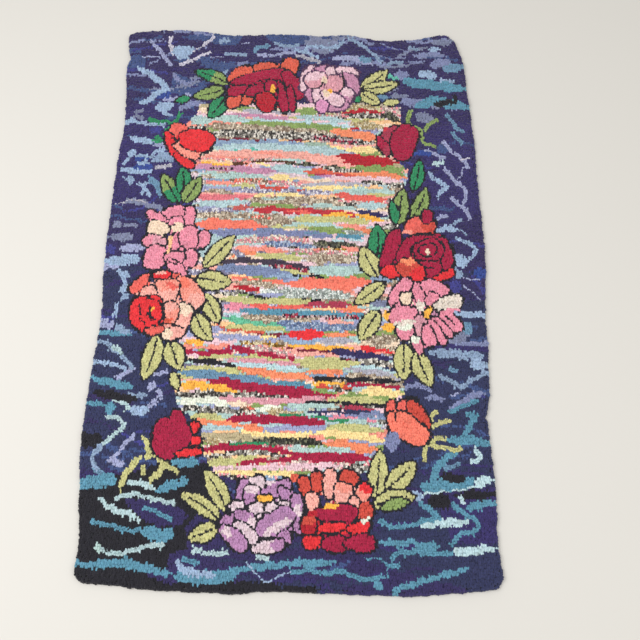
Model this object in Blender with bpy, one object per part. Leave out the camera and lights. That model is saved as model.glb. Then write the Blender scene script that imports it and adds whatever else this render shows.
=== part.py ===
"""A hooked rug lying flat, as one solid: wool pile hooked through a plain cloth backing.

The solid is a thin slab. Its underside is the flat backing, its edge follows the rug's hand-made
outline, and its rim swells and draws in with the small locks of yarn that stand out there. The top
rises and falls a little, as pile pulled up by hand does. Units are metres, +Z is up, +Y is the rug's
length, and the origin is under the middle of the rug's box, on the floor.
"""

import math
import random

import bmesh
import bpy
from mathutils import Vector, geometry, noise

# The driving sizes.
THICKNESS = 0.0120
LOCKS = 280
LOCK_REACH = 0.0045
SMALLEST_LOCK = 0.25
TOP_SPACING = 0.034
UNDERSIDE_SPACING = 0.110
SWELL_OF_TOP = 0.0011
LENGTH_OF_SWELL = 0.115
SINK_NEAR_RIM = 0.0012
YARN_SEED = 34

# One lock of yarn along the rim, as shares of its reach, from the dip before it to its far shoulder.
LOCK_SHAPE = (0.0, 0.85, 1.0)

# The rim's section. Columns: height above the floor, how far it is drawn in, share of the lock's reach.
RIM_SECTION = (
    (0.0000, 0.0040, 0.35),
    (0.0042, 0.0000, 1.00),
    (0.0088, 0.0022, 0.80),
    (0.0112, 0.0095, 0.15),
)

# The rug's outline without its locks, anticlockwise from the near left corner.
# Columns: place across the rug, place along it.
OUTLINE = (
    (-0.4220, -0.6560),
    (-0.4110, -0.6625),
    (-0.3550, -0.6670),
    (-0.2920, -0.6755),
    (-0.1750, -0.6815),
    (-0.1150, -0.6845),
    (-0.0500, -0.6800),
    (0.0700, -0.6835),
    (0.1800, -0.6880),
    (0.2400, -0.6895),
    (0.3100, -0.6850),
    (0.3900, -0.6790),
    (0.4080, -0.6780),
    (0.4190, -0.6690),
    (0.4240, -0.6500),
    (0.4175, -0.5950),
    (0.4210, -0.4950),
    (0.4160, -0.3500),
    (0.4125, -0.3380),
    (0.4240, -0.2850),
    (0.4300, -0.1700),
    (0.4290, -0.1100),
    (0.4385, 0.0050),
    (0.4405, 0.0720),
    (0.4370, 0.2000),
    (0.4370, 0.3400),
    (0.4300, 0.4880),
    (0.4260, 0.5800),
    (0.4130, 0.6350),
    (0.4040, 0.6580),
    (0.3900, 0.6700),
    (0.3600, 0.6690),
    (0.2950, 0.6560),
    (0.2200, 0.6555),
    (0.1400, 0.6720),
    (0.0650, 0.6690),
    (-0.0150, 0.6750),
    (-0.1000, 0.6730),
    (-0.1700, 0.6730),
    (-0.2500, 0.6860),
    (-0.3300, 0.6890),
    (-0.4050, 0.6840),
    (-0.4220, 0.6790),
    (-0.4300, 0.6640),
    (-0.4230, 0.6150),
    (-0.4190, 0.6030),
    (-0.4260, 0.5650),
    (-0.4180, 0.4160),
    (-0.4250, 0.3100),
    (-0.4310, 0.1380),
    (-0.4310, -0.0100),
    (-0.4265, -0.1100),
    (-0.4380, -0.2850),
    (-0.4400, -0.3920),
    (-0.4330, -0.4950),
    (-0.4240, -0.5950),
    (-0.4270, -0.6450),
)

PILE_COLOUR = (0.060, 0.042, 0.130, 1.0)
PILE_ROUGHNESS = 0.95
STEPS_BETWEEN_POINTS = 24
EASED_POINTS = 5


def clear_scene():
    """Empties the open file, so that the rug is alone in it."""
    for thing in list(bpy.data.objects):
        bpy.data.objects.remove(thing, do_unlink=True)


def smooth_point(before, start, end, after, share):
    """A point on the smooth curve from start to end, share of the way along it."""
    square = share * share
    cube = square * share
    return 0.5 * (
        2.0 * start
        + (end - before) * share
        + (2.0 * before - 5.0 * start + 4.0 * end - after) * square
        + (3.0 * start - before - 3.0 * end + after) * cube
    )


def smooth_outline():
    """Many points on a closed smooth curve through the rows of OUTLINE."""
    rows = [Vector(row) for row in OUTLINE]
    count = len(rows)
    points = []
    for i in range(count):
        corners = (rows[i - 1], rows[i], rows[(i + 1) % count], rows[(i + 2) % count])
        for step in range(STEPS_BETWEEN_POINTS):
            points.append(smooth_point(*corners, step / STEPS_BETWEEN_POINTS))
    return points


def evenly_spaced(points, count):
    """The closed line of points, given again as count points an equal way apart."""
    lengths = [(points[(i + 1) % len(points)] - points[i]).length for i in range(len(points))]
    stride = sum(lengths) / count
    spaced = []
    passed = 0.0
    for i, length in enumerate(lengths):
        while len(spaced) < count and len(spaced) * stride <= passed + length:
            share = (len(spaced) * stride - passed) / length
            spaced.append(points[i].lerp(points[(i + 1) % len(points)], share))
        passed += length
    return spaced


def outward(points):
    """The direction out of the rug at each point of an anticlockwise outline, eased round corners."""
    directions = []
    for i in range(len(points)):
        along = points[(i + EASED_POINTS) % len(points)] - points[i - EASED_POINTS]
        directions.append(Vector((along.y, -along.x)).normalized())
    return directions


def lock_reaches():
    """How far the yarn stands out at each point of the rim, lock after lock."""
    chance = random.Random(YARN_SEED)
    reaches = []
    for _ in range(LOCKS):
        size = LOCK_REACH * chance.uniform(SMALLEST_LOCK, 1.0)
        reaches += [size * share for share in LOCK_SHAPE]
    return reaches


def rim_rings():
    """The rim's rings from the floor up, each a list of points in space."""
    line = evenly_spaced(smooth_outline(), LOCKS * len(LOCK_SHAPE))
    directions = outward(line)
    reaches = lock_reaches()
    rings = []
    for height, drawn_in, share in RIM_SECTION:
        flat = [p + d * (reach * share - drawn_in) for p, d, reach in zip(line, directions, reaches)]
        rings.append([Vector((p.x, p.y, height)) for p in flat])
    return rings


def centred(rings):
    """The rings moved so that the middle of their box is over the origin."""
    points = [p for ring in rings for p in ring]
    middle_x = 0.5 * (min(p.x for p in points) + max(p.x for p in points))
    middle_y = 0.5 * (min(p.y for p in points) + max(p.y for p in points))
    shift = Vector((middle_x, middle_y, 0.0))
    return [[p - shift for p in ring] for ring in rings]


def inside(point, ring):
    """Whether a point lies within a closed ring, seen from above."""
    crossings = 0
    for i in range(len(ring)):
        a = ring[i - 1]
        b = ring[i]
        if (a.y > point.y) != (b.y > point.y):
            crossings += point.x < a.x + (b.x - a.x) * (point.y - a.y) / (b.y - a.y)
    return crossings % 2 == 1


def grid_inside(ring, spacing, clearance):
    """Points of a staggered grid within a ring, a clearance or more from it."""
    rise = spacing * math.sqrt(3.0) / 2.0
    low = Vector((min(p.x for p in ring), min(p.y for p in ring)))
    high = Vector((max(p.x for p in ring), max(p.y for p in ring)))
    points = []
    for row in range(int((high.y - low.y) / rise) + 1):
        for column in range(int((high.x - low.x) / spacing) + 1):
            shift = 0.5 if row % 2 else 0.0
            point = Vector((low.x + (column + shift) * spacing, low.y + row * rise))
            if inside(point, ring) and min((p.xy - point).length for p in ring) > clearance:
                points.append(point)
    return points


def pile_height(point, ring):
    """The height of the pile's top, which rolls gently and eases down to the rim."""
    place = Vector((point.x, point.y, 0.0)) / LENGTH_OF_SWELL
    away = min((p.xy - point).length for p in ring)
    sink = SINK_NEAR_RIM * math.exp(-away / (2.0 * TOP_SPACING))
    return THICKNESS - sink + SWELL_OF_TOP * noise.noise(place)


def fill(mesh, ring_vertices, spacing, height_at, face_up):
    """Closes a ring with triangles through a grid of points, each at the height that height_at gives."""
    ring = [v.co.copy() for v in ring_vertices]
    inner = grid_inside(ring, spacing, 0.45 * spacing)
    flat = [p.xy for p in ring] + inner
    edges = [(i, (i + 1) % len(ring)) for i in range(len(ring))]
    _, _, triangles, origins, _, _ = geometry.delaunay_2d_cdt(flat, edges, [], 1, 1e-7)
    if len(origins) != len(flat):
        raise ValueError("the rug's outline crosses itself")
    vertices = list(ring_vertices)
    vertices += [mesh.verts.new((p.x, p.y, height_at(p, ring))) for p in inner]
    for triangle in triangles:
        corners = [vertices[origins[i][0]] for i in triangle]
        mesh.faces.new(corners if face_up else corners[::-1])


def build_rug():
    """The rug's one closed solid, from its flat underside round the rim to the pile's top."""
    mesh = bmesh.new()
    rings = [[mesh.verts.new(p) for p in ring] for ring in centred(rim_rings())]
    for lower, upper in zip(rings, rings[1:]):
        for i in range(len(lower)):
            mesh.faces.new((lower[i - 1], lower[i], upper[i], upper[i - 1]))
    fill(mesh, rings[0], UNDERSIDE_SPACING, lambda point, ring: 0.0, False)
    fill(mesh, rings[-1], TOP_SPACING, pile_height, True)
    bmesh.ops.triangulate(mesh, faces=mesh.faces[:])
    bmesh.ops.recalc_face_normals(mesh, faces=mesh.faces[:])
    data = bpy.data.meshes.new("rug")
    mesh.to_mesh(data)
    mesh.free()
    data.shade_smooth()
    return data


def wool_pile():
    """Matt wool yarn, in the dark blue-violet that most of the rug's ground has."""
    material = bpy.data.materials.new("wool_pile")
    material.use_nodes = True
    shader = material.node_tree.nodes["Principled BSDF"]
    shader.inputs["Base Color"].default_value = PILE_COLOUR
    shader.inputs["Roughness"].default_value = PILE_ROUGHNESS
    shader.inputs["Metallic"].default_value = 0.0
    return material


def main():
    clear_scene()
    data = build_rug()
    data.materials.append(wool_pile())
    bpy.context.scene.collection.objects.link(bpy.data.objects.new("rug", data))


main()
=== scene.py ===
"""The looks of a hooked wool rug that lies flat: every loop of its pile, its bed, its backing and hem.

The rug is hooked as a maker hooks it. Rows of loops fill the ground, the striped middle, the leaves and
the flowers, and single rows of dark yarn draw each petal, leaf and vein. Places in the tables below are
in millimetres in the rug's own frame: x runs across the rug, y along it, from the middle of its box.
"""

import functools
import math

import bpy
import numpy as np
from bpy.props import FloatProperty, FloatVectorProperty, PointerProperty
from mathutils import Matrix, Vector, kdtree


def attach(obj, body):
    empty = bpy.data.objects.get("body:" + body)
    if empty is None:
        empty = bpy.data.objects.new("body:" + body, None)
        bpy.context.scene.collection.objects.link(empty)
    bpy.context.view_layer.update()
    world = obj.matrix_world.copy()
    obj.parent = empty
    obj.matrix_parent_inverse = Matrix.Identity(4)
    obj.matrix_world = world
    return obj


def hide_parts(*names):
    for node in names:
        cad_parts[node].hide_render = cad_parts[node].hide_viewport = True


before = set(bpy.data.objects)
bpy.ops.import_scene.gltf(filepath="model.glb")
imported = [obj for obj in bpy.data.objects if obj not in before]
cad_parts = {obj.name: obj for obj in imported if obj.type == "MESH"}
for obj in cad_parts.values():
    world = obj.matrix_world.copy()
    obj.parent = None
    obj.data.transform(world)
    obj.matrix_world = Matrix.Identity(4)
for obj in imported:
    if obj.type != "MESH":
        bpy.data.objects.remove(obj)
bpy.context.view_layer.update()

bl_info = {
    "name": "Hooked wool rug",
    "version": (1, 0, 0),
    "blender": (4, 5, 0),
    "location": "3D View > Sidebar > Rug",
    "description": "Hooks the rug's pile row by row and lays it on its hemmed backing",
    "category": "Object",
}

MM = 0.001
BODY = "root"
RUG = "rug"

# Plain-dyed wool yarns, each with its colour in daylight.
YARNS = {
    "burgundy": "#A82546",
    "crimson": "#B62836",
    "scarlet": "#E2383E",
    "red": "#C23844",
    "tomato": "#CC5044",
    "brick": "#C4605C",
    "coral": "#DA6450",
    "coral_red": "#E66A60",
    "melon": "#F2806C",
    "salmon": "#F29A8A",
    "pale_salmon": "#F0AEA2",
    "orange": "#F2926C",
    "apricot": "#F8C898",
    "rose_pink": "#E692A6",
    "rose_red": "#E47E88",
    "raspberry": "#AC3E56",
    "dusty_pink": "#DA9EAA",
    "blush": "#E8C6CF",
    "orchid": "#B586B0",
    "bright_orchid": "#DE9CC2",
    "mauve": "#C78FAC",
    "pale_lilac": "#DEC8D0",
    "cream": "#EED6BE",
    "chalk": "#E4D8CC",
    "ivory": "#E8ECDC",
    "buttercream": "#F6DC9E",
    "marigold": "#F8B84E",
    "pistachio": "#C6C388",
    "grass": "#8CA262",
    "emerald": "#368E62",
    "sea_green": "#66B5A5",
    "seafoam": "#6CBC9A",
    "sage": "#A0B6A8",
    "aqua": "#B2CACE",
    "mint": "#B2CCC8",
    "ice": "#BCD6DC",
    "teal": "#5E93AA",
    "steel": "#6E92AE",
    "sky": "#8DA2BE",
    "pale_blue": "#9CB2CE",
    "denim": "#7E8BAE",
    "periwinkle": "#838AB0",
    "lavender": "#A1A6C8",
    "slate": "#8086A2",
    "ash": "#B2B0BC",
    "pearl": "#CCC8D6",
    "dusk": "#465684",
    "royal": "#3A4E94",
    "indigo": "#444488",
    "violet": "#3C3568",
    "plum": "#553A58",
    "purple": "#3A335F",
    "navy": "#363A5C",
    "black": "#28272E",
    "ink": "#463C4C",
    "wine": "#7A2A3C",
    "bark": "#5A3A28",
    "khaki": "#BCAE8C",
}

# Tweed yarns. Columns: the colours of the three strands that are spun together.
TWEEDS = {
    "oat_tweed": ("#D6C8B4", "#8E7A68", "#B2A290"),
    "pepper_tweed": ("#DCD6CC", "#3A3634", "#85807A"),
    "khaki_tweed": ("#C0AE84", "#A08C64", "#D6CAAE"),
    "wine_tweed": ("#A83A50", "#3A2A38", "#C8B0B0"),
    "denim_tweed": ("#7E94B4", "#66769C", "#B0BCD0"),
    "coral_tweed": ("#E87060", "#E8C8B8", "#8A6A58"),
    "rose_tweed": ("#E8909A", "#EAD8CC", "#B09A98"),
    "moss_tweed": ("#4C4C46", "#74745F", "#2E2E2A"),
    "slate_tweed": ("#A39DB8", "#D8D4DC", "#7A7690"),
    "grey_tweed": ("#B9C2BC", "#8F9692", "#E0E4E0"),
    "amber_tweed": ("#B98A3A", "#E8D8B0", "#7A5A28"),
}
YARN_NAMES = [*YARNS, *TWEEDS]

# The parts of the design, which are hooked in this order.
GROUND, STRIPES, LEAVES, FLOWERS = range(4)

# The dark ground's fields of colour. Columns: yarn, then its corners.
GROUND_FIELDS = (
    ("violet", (-445, 160), (-330, 200), (-200, 430), (-300, 520), (-445, 440)),
    ("dusk", (-445, 560), (-380, 575), (-400, 630), (-445, 640)),
    ("dusk", (-310, 560), (-230, 520), (-200, 500), (-250, 490), (-315, 500)),
    ("dusk", (-260, 700), (-120, 700), (-150, 645), (-215, 640), (-290, 655)),
    ("dusk", (-110, 700), (140, 700), (150, 655), (60, 640), (-60, 652)),
    ("violet", (300, 120), (445, 150), (445, 420), (320, 380)),
    ("navy", (-445, 22), (-330, 20), (-180, -150), (-170, -420), (-300, -440), (-445, -440)),
    ("navy", (200, -95), (445, -60), (445, -480), (180, -480), (170, -300)),
    ("navy", (160, -520), (300, -520), (430, -600), (440, -700), (200, -640), (150, -600)),
    ("violet", (300, -500), (440, -480), (440, -590), (330, -600)),
)

# Fields of colour that lie over the fine streaks. Columns: yarn, then its corners.
DARK_FIELDS = (
    ("black", (-445, -470), (-320, -446), (-260, -425), (-170, -430), (-150, -480), (-175, -520),
     (-215, -560), (-205, -600), (-240, -610), (-245, -640), (-290, -652), (-240, -666), (-60, -664),
     (60, -676), (60, -710), (-445, -710)),
    ("purple", (-345, -504), (-250, -504), (-205, -536), (-225, -556), (-262, -558), (-300, -545)),
    ("black", (-445, -364), (-398, -370), (-400, -396), (-445, -398)),
)

# Streaks in the ground. Columns: yarn, width, then the places that a streak passes.
STREAKS = (
    ("dusk", 22, (-440, 600), (-380, 596)),
    ("royal", 24, (-352, 492), (-312, 490)),
    ("pearl", 7, (-324, 674), (-324, 646), (-312, 612)),
    ("pearl", 8, (-298, 580), (-262, 598), (-216, 624)),
    ("pearl", 5, (-294, 599), (-264, 624), (-238, 640)),
    ("pearl", 8, (-240, 640), (-224, 655), (-210, 672)),
    ("pale_blue", 30, (-318, 622), (-262, 628)),
    ("pale_blue", 10, (-305, 604), (-272, 606)),
    ("lavender", 8, (-378, 658), (-352, 632), (-332, 600), (-314, 576)),
    ("lavender", 5, (-392, 606), (-350, 608)),
    ("pale_blue", 14, (-402, 572), (-370, 555), (-340, 528), (-318, 510)),
    ("periwinkle", 10, (-312, 556), (-292, 532), (-266, 518)),
    ("pale_blue", 12, (-312, 506), (-340, 500), (-362, 478), (-392, 462)),
    ("lavender", 8, (-330, 474), (-300, 478), (-262, 492)),
    ("pale_blue", 22, (-348, 452), (-302, 458)),
    ("periwinkle", 12, (-290, 446), (-262, 462), (-228, 466)),
    ("slate", 8, (-396, 436), (-378, 446)),
    ("sky", 12, (-200, 652), (-168, 660)),
    ("sky", 8, (-182, 616), (-122, 614)),
    ("lavender", 5, (-216, 606), (-186, 606)),
    ("sky", 10, (-182, 590), (-178, 552)),
    ("dusk", 24, (-240, 596), (-205, 575), (-150, 585)),
    ("periwinkle", 6, (-150, 580), (-122, 590)),
    ("lavender", 5, (-138, 648), (-120, 650)),
    ("steel", 12, (-108, 618), (-92, 636), (-62, 640)),
    ("sky", 6, (-56, 648), (-10, 640), (10, 645)),
    ("lavender", 6, (-100, 612), (-60, 612), (0, 622)),
    ("slate", 20, (20, 655), (110, 650)),
    ("pale_blue", 7, (0, 632), (22, 620), (60, 606)),
    ("ash", 8, (0, 612), (40, 598), (64, 590)),
    ("pale_blue", 8, (22, 628), (40, 638), (100, 636), (128, 656)),
    ("slate", 10, (40, 624), (100, 622)),
    ("lavender", 14, (92, 600), (150, 602), (196, 580)),
    ("steel", 12, (160, 604), (198, 592)),
    ("sky", 6, (134, 661), (160, 651), (194, 621), (221, 588)),
    ("sky", 7, (234, 584), (276, 588)),
    ("periwinkle", 5, (220, 648), (250, 632), (290, 622)),
    ("periwinkle", 5, (214, 612), (244, 600), (282, 604)),
    ("periwinkle", 8, (170, 656), (204, 646)),
    ("sky", 8, (290, 634), (320, 627)),
    ("periwinkle", 14, (300, 608), (360, 612), (385, 606)),
    ("pale_blue", 12, (340, 630), (372, 628)),
    ("slate", 14, (350, 650), (405, 652)),
    ("periwinkle", 8, (290, 586), (330, 590)),
    ("periwinkle", 22, (340, 580), (400, 590)),
    ("steel", 22, (375, 565), (425, 575)),
    ("periwinkle", 22, (252, 552), (286, 548)),
    ("pale_blue", 20, (312, 548), (340, 552), (358, 540)),
    ("pale_blue", 8, (366, 532), (405, 528)),
    ("sea_green", 10, (222, 548), (262, 538)),
    ("teal", 26, (270, 530), (340, 520), (428, 505)),
    ("slate", 14, (204, 500), (262, 508)),
    ("steel", 12, (206, 490), (236, 478)),
    ("slate", 12, (238, 486), (290, 490)),
    ("periwinkle", 22, (262, 470), (330, 462)),
    ("teal", 26, (300, 450), (350, 470), (432, 450)),
    ("purple", 10, (250, 498), (330, 494), (400, 488)),
    ("black", 14, (344, 458), (380, 466), (406, 468)),
    ("black", 8, (398, 488), (404, 466)),
    ("slate", 24, (300, 430), (345, 410)),
    ("steel", 6, (376, 432), (388, 412), (398, 394), (416, 378)),
    ("steel", 6, (384, 380), (398, 362), (412, 346)),
    ("lavender", 6, (362, 358), (372, 340), (384, 322)),
    ("lavender", 7, (386, 320), (402, 308), (414, 292), (418, 278)),
    ("lavender", 5, (408, 280), (404, 262), (392, 248)),
    ("pearl", 5, (404, 300), (424, 306)),
    ("lavender", 7, (318, 324), (340, 320), (356, 308), (370, 308)),
    ("aqua", 10, (334, 288), (366, 296)),
    ("lavender", 6, (360, 278), (374, 262), (382, 246), (398, 232), (410, 214), (408, 194), (398, 182)),
    ("pale_blue", 9, (322, 270), (332, 252), (352, 238), (364, 226), (352, 212), (338, 200)),
    ("royal", 12, (282, 318), (335, 318)),
    ("dusk", 22, (348, 342), (372, 322)),
    ("dusk", 8, (315, 170), (380, 166)),
    ("lavender", 6, (372, 196), (390, 180), (404, 166), (414, 150), (414, 138)),
    ("lavender", 8, (338, 142), (362, 150)),
    ("pale_blue", 12, (332, 106), (360, 116), (388, 112)),
    ("sky", 6, (376, 124), (386, 136), (398, 138)),
    ("pale_blue", 7, (376, 94), (400, 80), (420, 66), (422, 54), (404, 36)),
    ("sky", 5, (390, 112), (404, 100)),
    ("pale_blue", 26, (368, 34), (402, 30)),
    ("sky", 18, (372, 12), (380, -12)),
    ("royal", 22, (420, 15), (436, -10)),
    ("indigo", 26, (355, -26), (385, -34)),
    ("lavender", 5, (388, -28), (412, -50), (425, -66)),
    ("lavender", 5, (390, -10), (425, -16)),
    ("pale_blue", 9, (360, -98), (400, -100), (436, -98)),
    ("steel", 22, (378, -150), (392, -128), (400, -122)),
    ("slate", 22, (345, -158), (388, -150)),
    ("periwinkle", 12, (352, -172), (436, -168)),
    ("violet", 12, (310, -172), (345, -178), (432, -182)),
    ("sky", 18, (298, -188), (350, -192), (425, -198)),
    ("pale_blue", 22, (390, -210), (425, -222)),
    ("steel", 6, (344, -226), (362, -230)),
    ("sky", 7, (320, -240), (342, -252), (370, -266), (392, -250), (430, -232)),
    ("periwinkle", 8, (246, -266), (280, -264), (302, -276)),
    ("periwinkle", 9, (290, -290), (330, -292)),
    ("lavender", 5, (344, -286), (366, -278)),
    ("periwinkle", 12, (336, -318), (362, -306), (388, -288), (418, -278)),
    ("teal", 6, (336, -322), (370, -310), (400, -294)),
    ("teal", 10, (370, -326), (396, -330)),
    ("teal", 10, (364, -378), (384, -346), (400, -326)),
    ("teal", 16, (330, -382), (420, -386)),
    ("ice", 6, (384, -404), (400, -416), (376, -432)),
    ("teal", 12, (292, -472), (306, -440), (326, -420), (352, -406)),
    ("steel", 6, (318, -444), (356, -430)),
    ("teal", 22, (266, -480), (330, -476), (384, -468)),
    ("ice", 14, (380, -472), (418, -464)),
    ("black", 14, (310, -460), (364, -462)),
    ("ice", 5, (272, -494), (330, -488), (402, -478)),
    ("pale_blue", 20, (266, -490), (262, -508)),
    ("black", 28, (282, -506), (330, -512)),
    ("black", 14, (340, -498), (420, -494)),
    ("ice", 7, (348, -500), (356, -514)),
    ("teal", 14, (360, -522), (418, -510)),
    ("ice", 12, (262, -556), (310, -552), (366, -550)),
    ("teal", 9, (262, -508), (292, -530), (306, -545)),
    ("teal", 8, (180, -548), (210, -558), (250, -555), (300, -540)),
    ("teal", 6, (330, -510), (352, -530), (378, -546), (380, -566), (350, -572), (322, -596)),
    ("teal", 9, (180, -586), (220, -592), (260, -588)),
    ("teal", 22, (250, -602), (298, -598)),
    ("ice", 13, (326, -608), (370, -606), (412, -600)),
    ("teal", 5, (150, -620), (186, -622), (196, -643), (198, -652)),
    ("teal", 7, (203, -626), (212, -613), (247, -608), (300, -612), (328, -612)),
    ("teal", 6, (196, -636), (220, -632)),
    ("teal", 8, (110, -643), (124, -653), (150, -660), (198, -654)),
    ("teal", 12, (170, -662), (184, -678)),
    ("teal", 9, (202, -680), (250, -668), (300, -654), (360, -640)),
    ("teal", 11, (-134, -645), (-82, -638), (-30, -634), (20, -628), (60, -629), (98, -628)),
    ("teal", 7, (0, -648), (36, -643), (70, -648), (112, -643)),
    ("pale_blue", 5, (-86, -628), (-72, -642), (-48, -665), (-28, -656), (2, -648)),
    ("aqua", 8, (-66, -616), (-42, -620)),
    ("aqua", 8, (-196, -604), (-160, -610), (-122, -610)),
    ("teal", 14, (-430, -628), (-380, -632), (-330, -628), (-280, -640), (-230, -652)),
    ("teal", 24, (-230, -655), (-160, -655), (-100, -650)),
    ("pale_blue", 12, (-228, -620), (-215, -638), (-180, -648), (-145, -652)),
    ("teal", 8, (-215, -622), (-180, -628)),
    ("mint", 14, (-396, -596), (-374, -600)),
    ("aqua", 8, (-384, -601), (-366, -607), (-340, -610), (-300, -600), (-262, -592), (-256, -600)),
    ("aqua", 9, (-396, -500), (-370, -518), (-348, -530), (-322, -534), (-306, -552)),
    ("teal", 20, (-304, -564), (-262, -576), (-240, -580)),
    ("teal", 16, (-256, -570), (-234, -566)),
    ("teal", 7, (-406, -546), (-366, -556), (-330, -566), (-300, -562)),
    ("aqua", 8, (-364, -502), (-324, -494), (-290, -500), (-234, -514)),
    ("teal", 6, (-300, -518), (-266, -532), (-240, -546)),
    ("aqua", 9, (-340, -470), (-308, -470), (-280, -486)),
    ("teal", 18, (-276, -486), (-244, -474), (-212, -462)),
    ("teal", 24, (-436, -472), (-400, -466), (-358, -462)),
    ("steel", 6, (-412, -438), (-392, -450)),
    ("sky", 7, (-400, -390), (-416, -420), (-400, -446)),
    ("lavender", 6, (-332, -368), (-346, -386), (-362, -406), (-384, -428)),
    ("lavender", 12, (-380, -424), (-346, -432)),
    ("aqua", 7, (-396, -330), (-372, -334), (-356, -350), (-376, -372), (-400, -390)),
    ("pale_blue", 18, (-346, -320), (-306, -316)),
    ("lavender", 6, (-306, -308), (-288, -298)),
    ("teal", 26, (-400, -312), (-378, -318)),
    ("teal", 9, (-440, -302), (-400, -304)),
    ("aqua", 7, (-384, -292), (-360, -300), (-346, -316)),
    ("sky", 7, (-352, -284), (-312, -284)),
    ("black", 14, (-430, -276), (-390, -284), (-330, -294)),
    ("teal", 14, (-436, -244), (-400, -254), (-342, -266)),
    ("lavender", 18, (-308, -256), (-296, -270)),
    ("lavender", 6, (-290, -272), (-280, -292)),
    ("lavender", 7, (-302, -238), (-270, -230)),
    ("pale_blue", 8, (-436, -208), (-400, -212), (-360, -224)),
    ("lavender", 6, (-382, -244), (-356, -230), (-344, -222)),
    ("sky", 8, (-424, -158), (-392, -180), (-366, -202), (-346, -226)),
    ("aqua", 6, (-396, -174), (-372, -190)),
    ("lavender", 18, (-430, -118), (-396, -122)),
    ("teal", 10, (-434, -138), (-392, -142), (-352, -144)),
    ("sky", 12, (-396, -128), (-360, -142)),
    ("pale_blue", 8, (-398, -70), (-396, -104)),
    ("sky", 20, (-384, -50), (-376, -62)),
    ("pale_blue", 12, (-392, -46), (-374, -28)),
    ("pale_blue", 18, (-388, 6), (-382, -12)),
    ("pale_blue", 7, (-400, 14), (-376, -28)),
    ("pale_blue", 22, (-436, 30), (-400, 34), (-350, 38)),
    ("lavender", 6, (-436, 18), (-400, 20)),
    ("indigo", 16, (-432, 70), (-410, 56)),
    ("lavender", 16, (-402, 66), (-340, 68)),
    ("slate", 16, (-428, 96), (-370, 92)),
    ("slate", 16, (-424, 130), (-402, 126)),
    ("slate", 7, (-400, 126), (-366, 124)),
    ("slate", 12, (-410, 182), (-380, 190), (-340, 178), (-304, 166)),
    ("ash", 5, (-420, 180), (-380, 194), (-346, 184)),
    ("pale_blue", 6, (-374, 238), (-356, 222), (-340, 202)),
    ("pale_blue", 6, (-352, 240), (-364, 206)),
    ("steel", 15, (-348, 254), (-324, 226), (-316, 202)),
    ("sky", 14, (-396, 256), (-390, 236)),
    ("sky", 5, (-412, 256), (-392, 240)),
    ("pale_blue", 12, (-420, 276), (-380, 270), (-340, 270)),
    ("royal", 12, (-388, 282), (-340, 284)),
    ("royal", 10, (-388, 304), (-350, 308)),
    ("pale_blue", 6, (-380, 292), (-352, 296)),
    ("sky", 10, (-348, 300), (-310, 306), (-292, 296)),
    ("pale_blue", 6, (-412, 290), (-404, 306)),
    ("pale_blue", 16, (-406, 318), (-384, 322)),
    ("pale_blue", 8, (-384, 316), (-352, 310), (-336, 326), (-306, 334)),
    ("ash", 7, (-336, 280), (-296, 288)),
    ("sky", 14, (-336, 314), (-302, 318)),
    ("pale_blue", 13, (-402, 364), (-370, 356), (-344, 352)),
    ("lavender", 6, (-344, 346), (-312, 338)),
    ("indigo", 16, (-360, 384), (-326, 388)),
    ("pale_blue", 13, (-420, 412), (-396, 416)),
    ("pale_blue", 8, (-396, 412), (-360, 404), (-320, 400)),
    ("slate", 6, (-400, 428), (-376, 422)),
    ("pale_blue", 8, (-330, 438), (-304, 428)),
    ("emerald", 7, (-366, 420), (-340, 412), (-316, 410), (-300, 400)),
    ("emerald", 7, (-302, 404), (-290, 420), (-282, 438)),
    ("emerald", 16, (-344, 358), (-324, 362)),
    ("emerald", 7, (-322, 372), (-306, 396)),
)

# Fine streaks under those above, placed at random.
# Columns: lowest and highest y, how many, tilt in degrees, their yarns.
MARBLING = (
    (430, 700, 100, 12, ("dusk", "indigo", "violet", "purple", "dusk", "violet", "slate", "periwinkle")),
    (160, 470, 44, 24, ("indigo", "violet", "purple", "dusk", "purple")),
    (-160, 190, 60, 22, ("indigo", "violet", "purple", "dusk", "navy", "violet")),
    (-440, -130, 80, 16, ("navy", "purple", "dusk", "indigo", "navy", "dusk")),
    (-700, -420, 76, 9, ("navy", "purple", "violet", "navy", "dusk", "navy")),
)

# Pale yarns of the slips between the stronger stripes.
SLIP_YARNS = (
    "cream", "blush", "aqua", "mint", "pistachio", "apricot", "salmon", "lavender", "slate_tweed",
    "oat_tweed", "oat_tweed", "aqua", "rose_tweed", "pale_lilac", "grass", "sky", "pepper_tweed",
    "pale_salmon",
)

# The striped middle's edge, anticlockwise from its far left corner.
STRIPED_FIELD = (
    (-238, 462), (-245, 430), (-268, 405), (-262, 380), (-250, 300), (-250, 262), (-225, 240), (-235, 190),
    (-250, 150), (-215, 60), (-250, 0), (-200, -40), (-170, -100), (-250, -150), (-250, -300), (-225, -325),
    (-190, -355), (-195, -390), (-175, -425), (-150, -455), (-100, -468), (20, -470), (60, -450),
    (170, -450), (172, -425), (195, -400), (205, -365), (200, -310), (245, -285), (240, -240), (228, -190),
    (245, -150), (215, -100), (225, -60), (262, -44), (256, -4), (200, 4), (165, 20), (150, 40),
    (200, 90), (248, 112), (248, 135), (236, 150), (238, 200), (270, 235), (275, 270), (245, 305),
    (212, 345), (215, 385), (262, 395), (262, 450), (225, 462), (120, 465),
)

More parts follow.
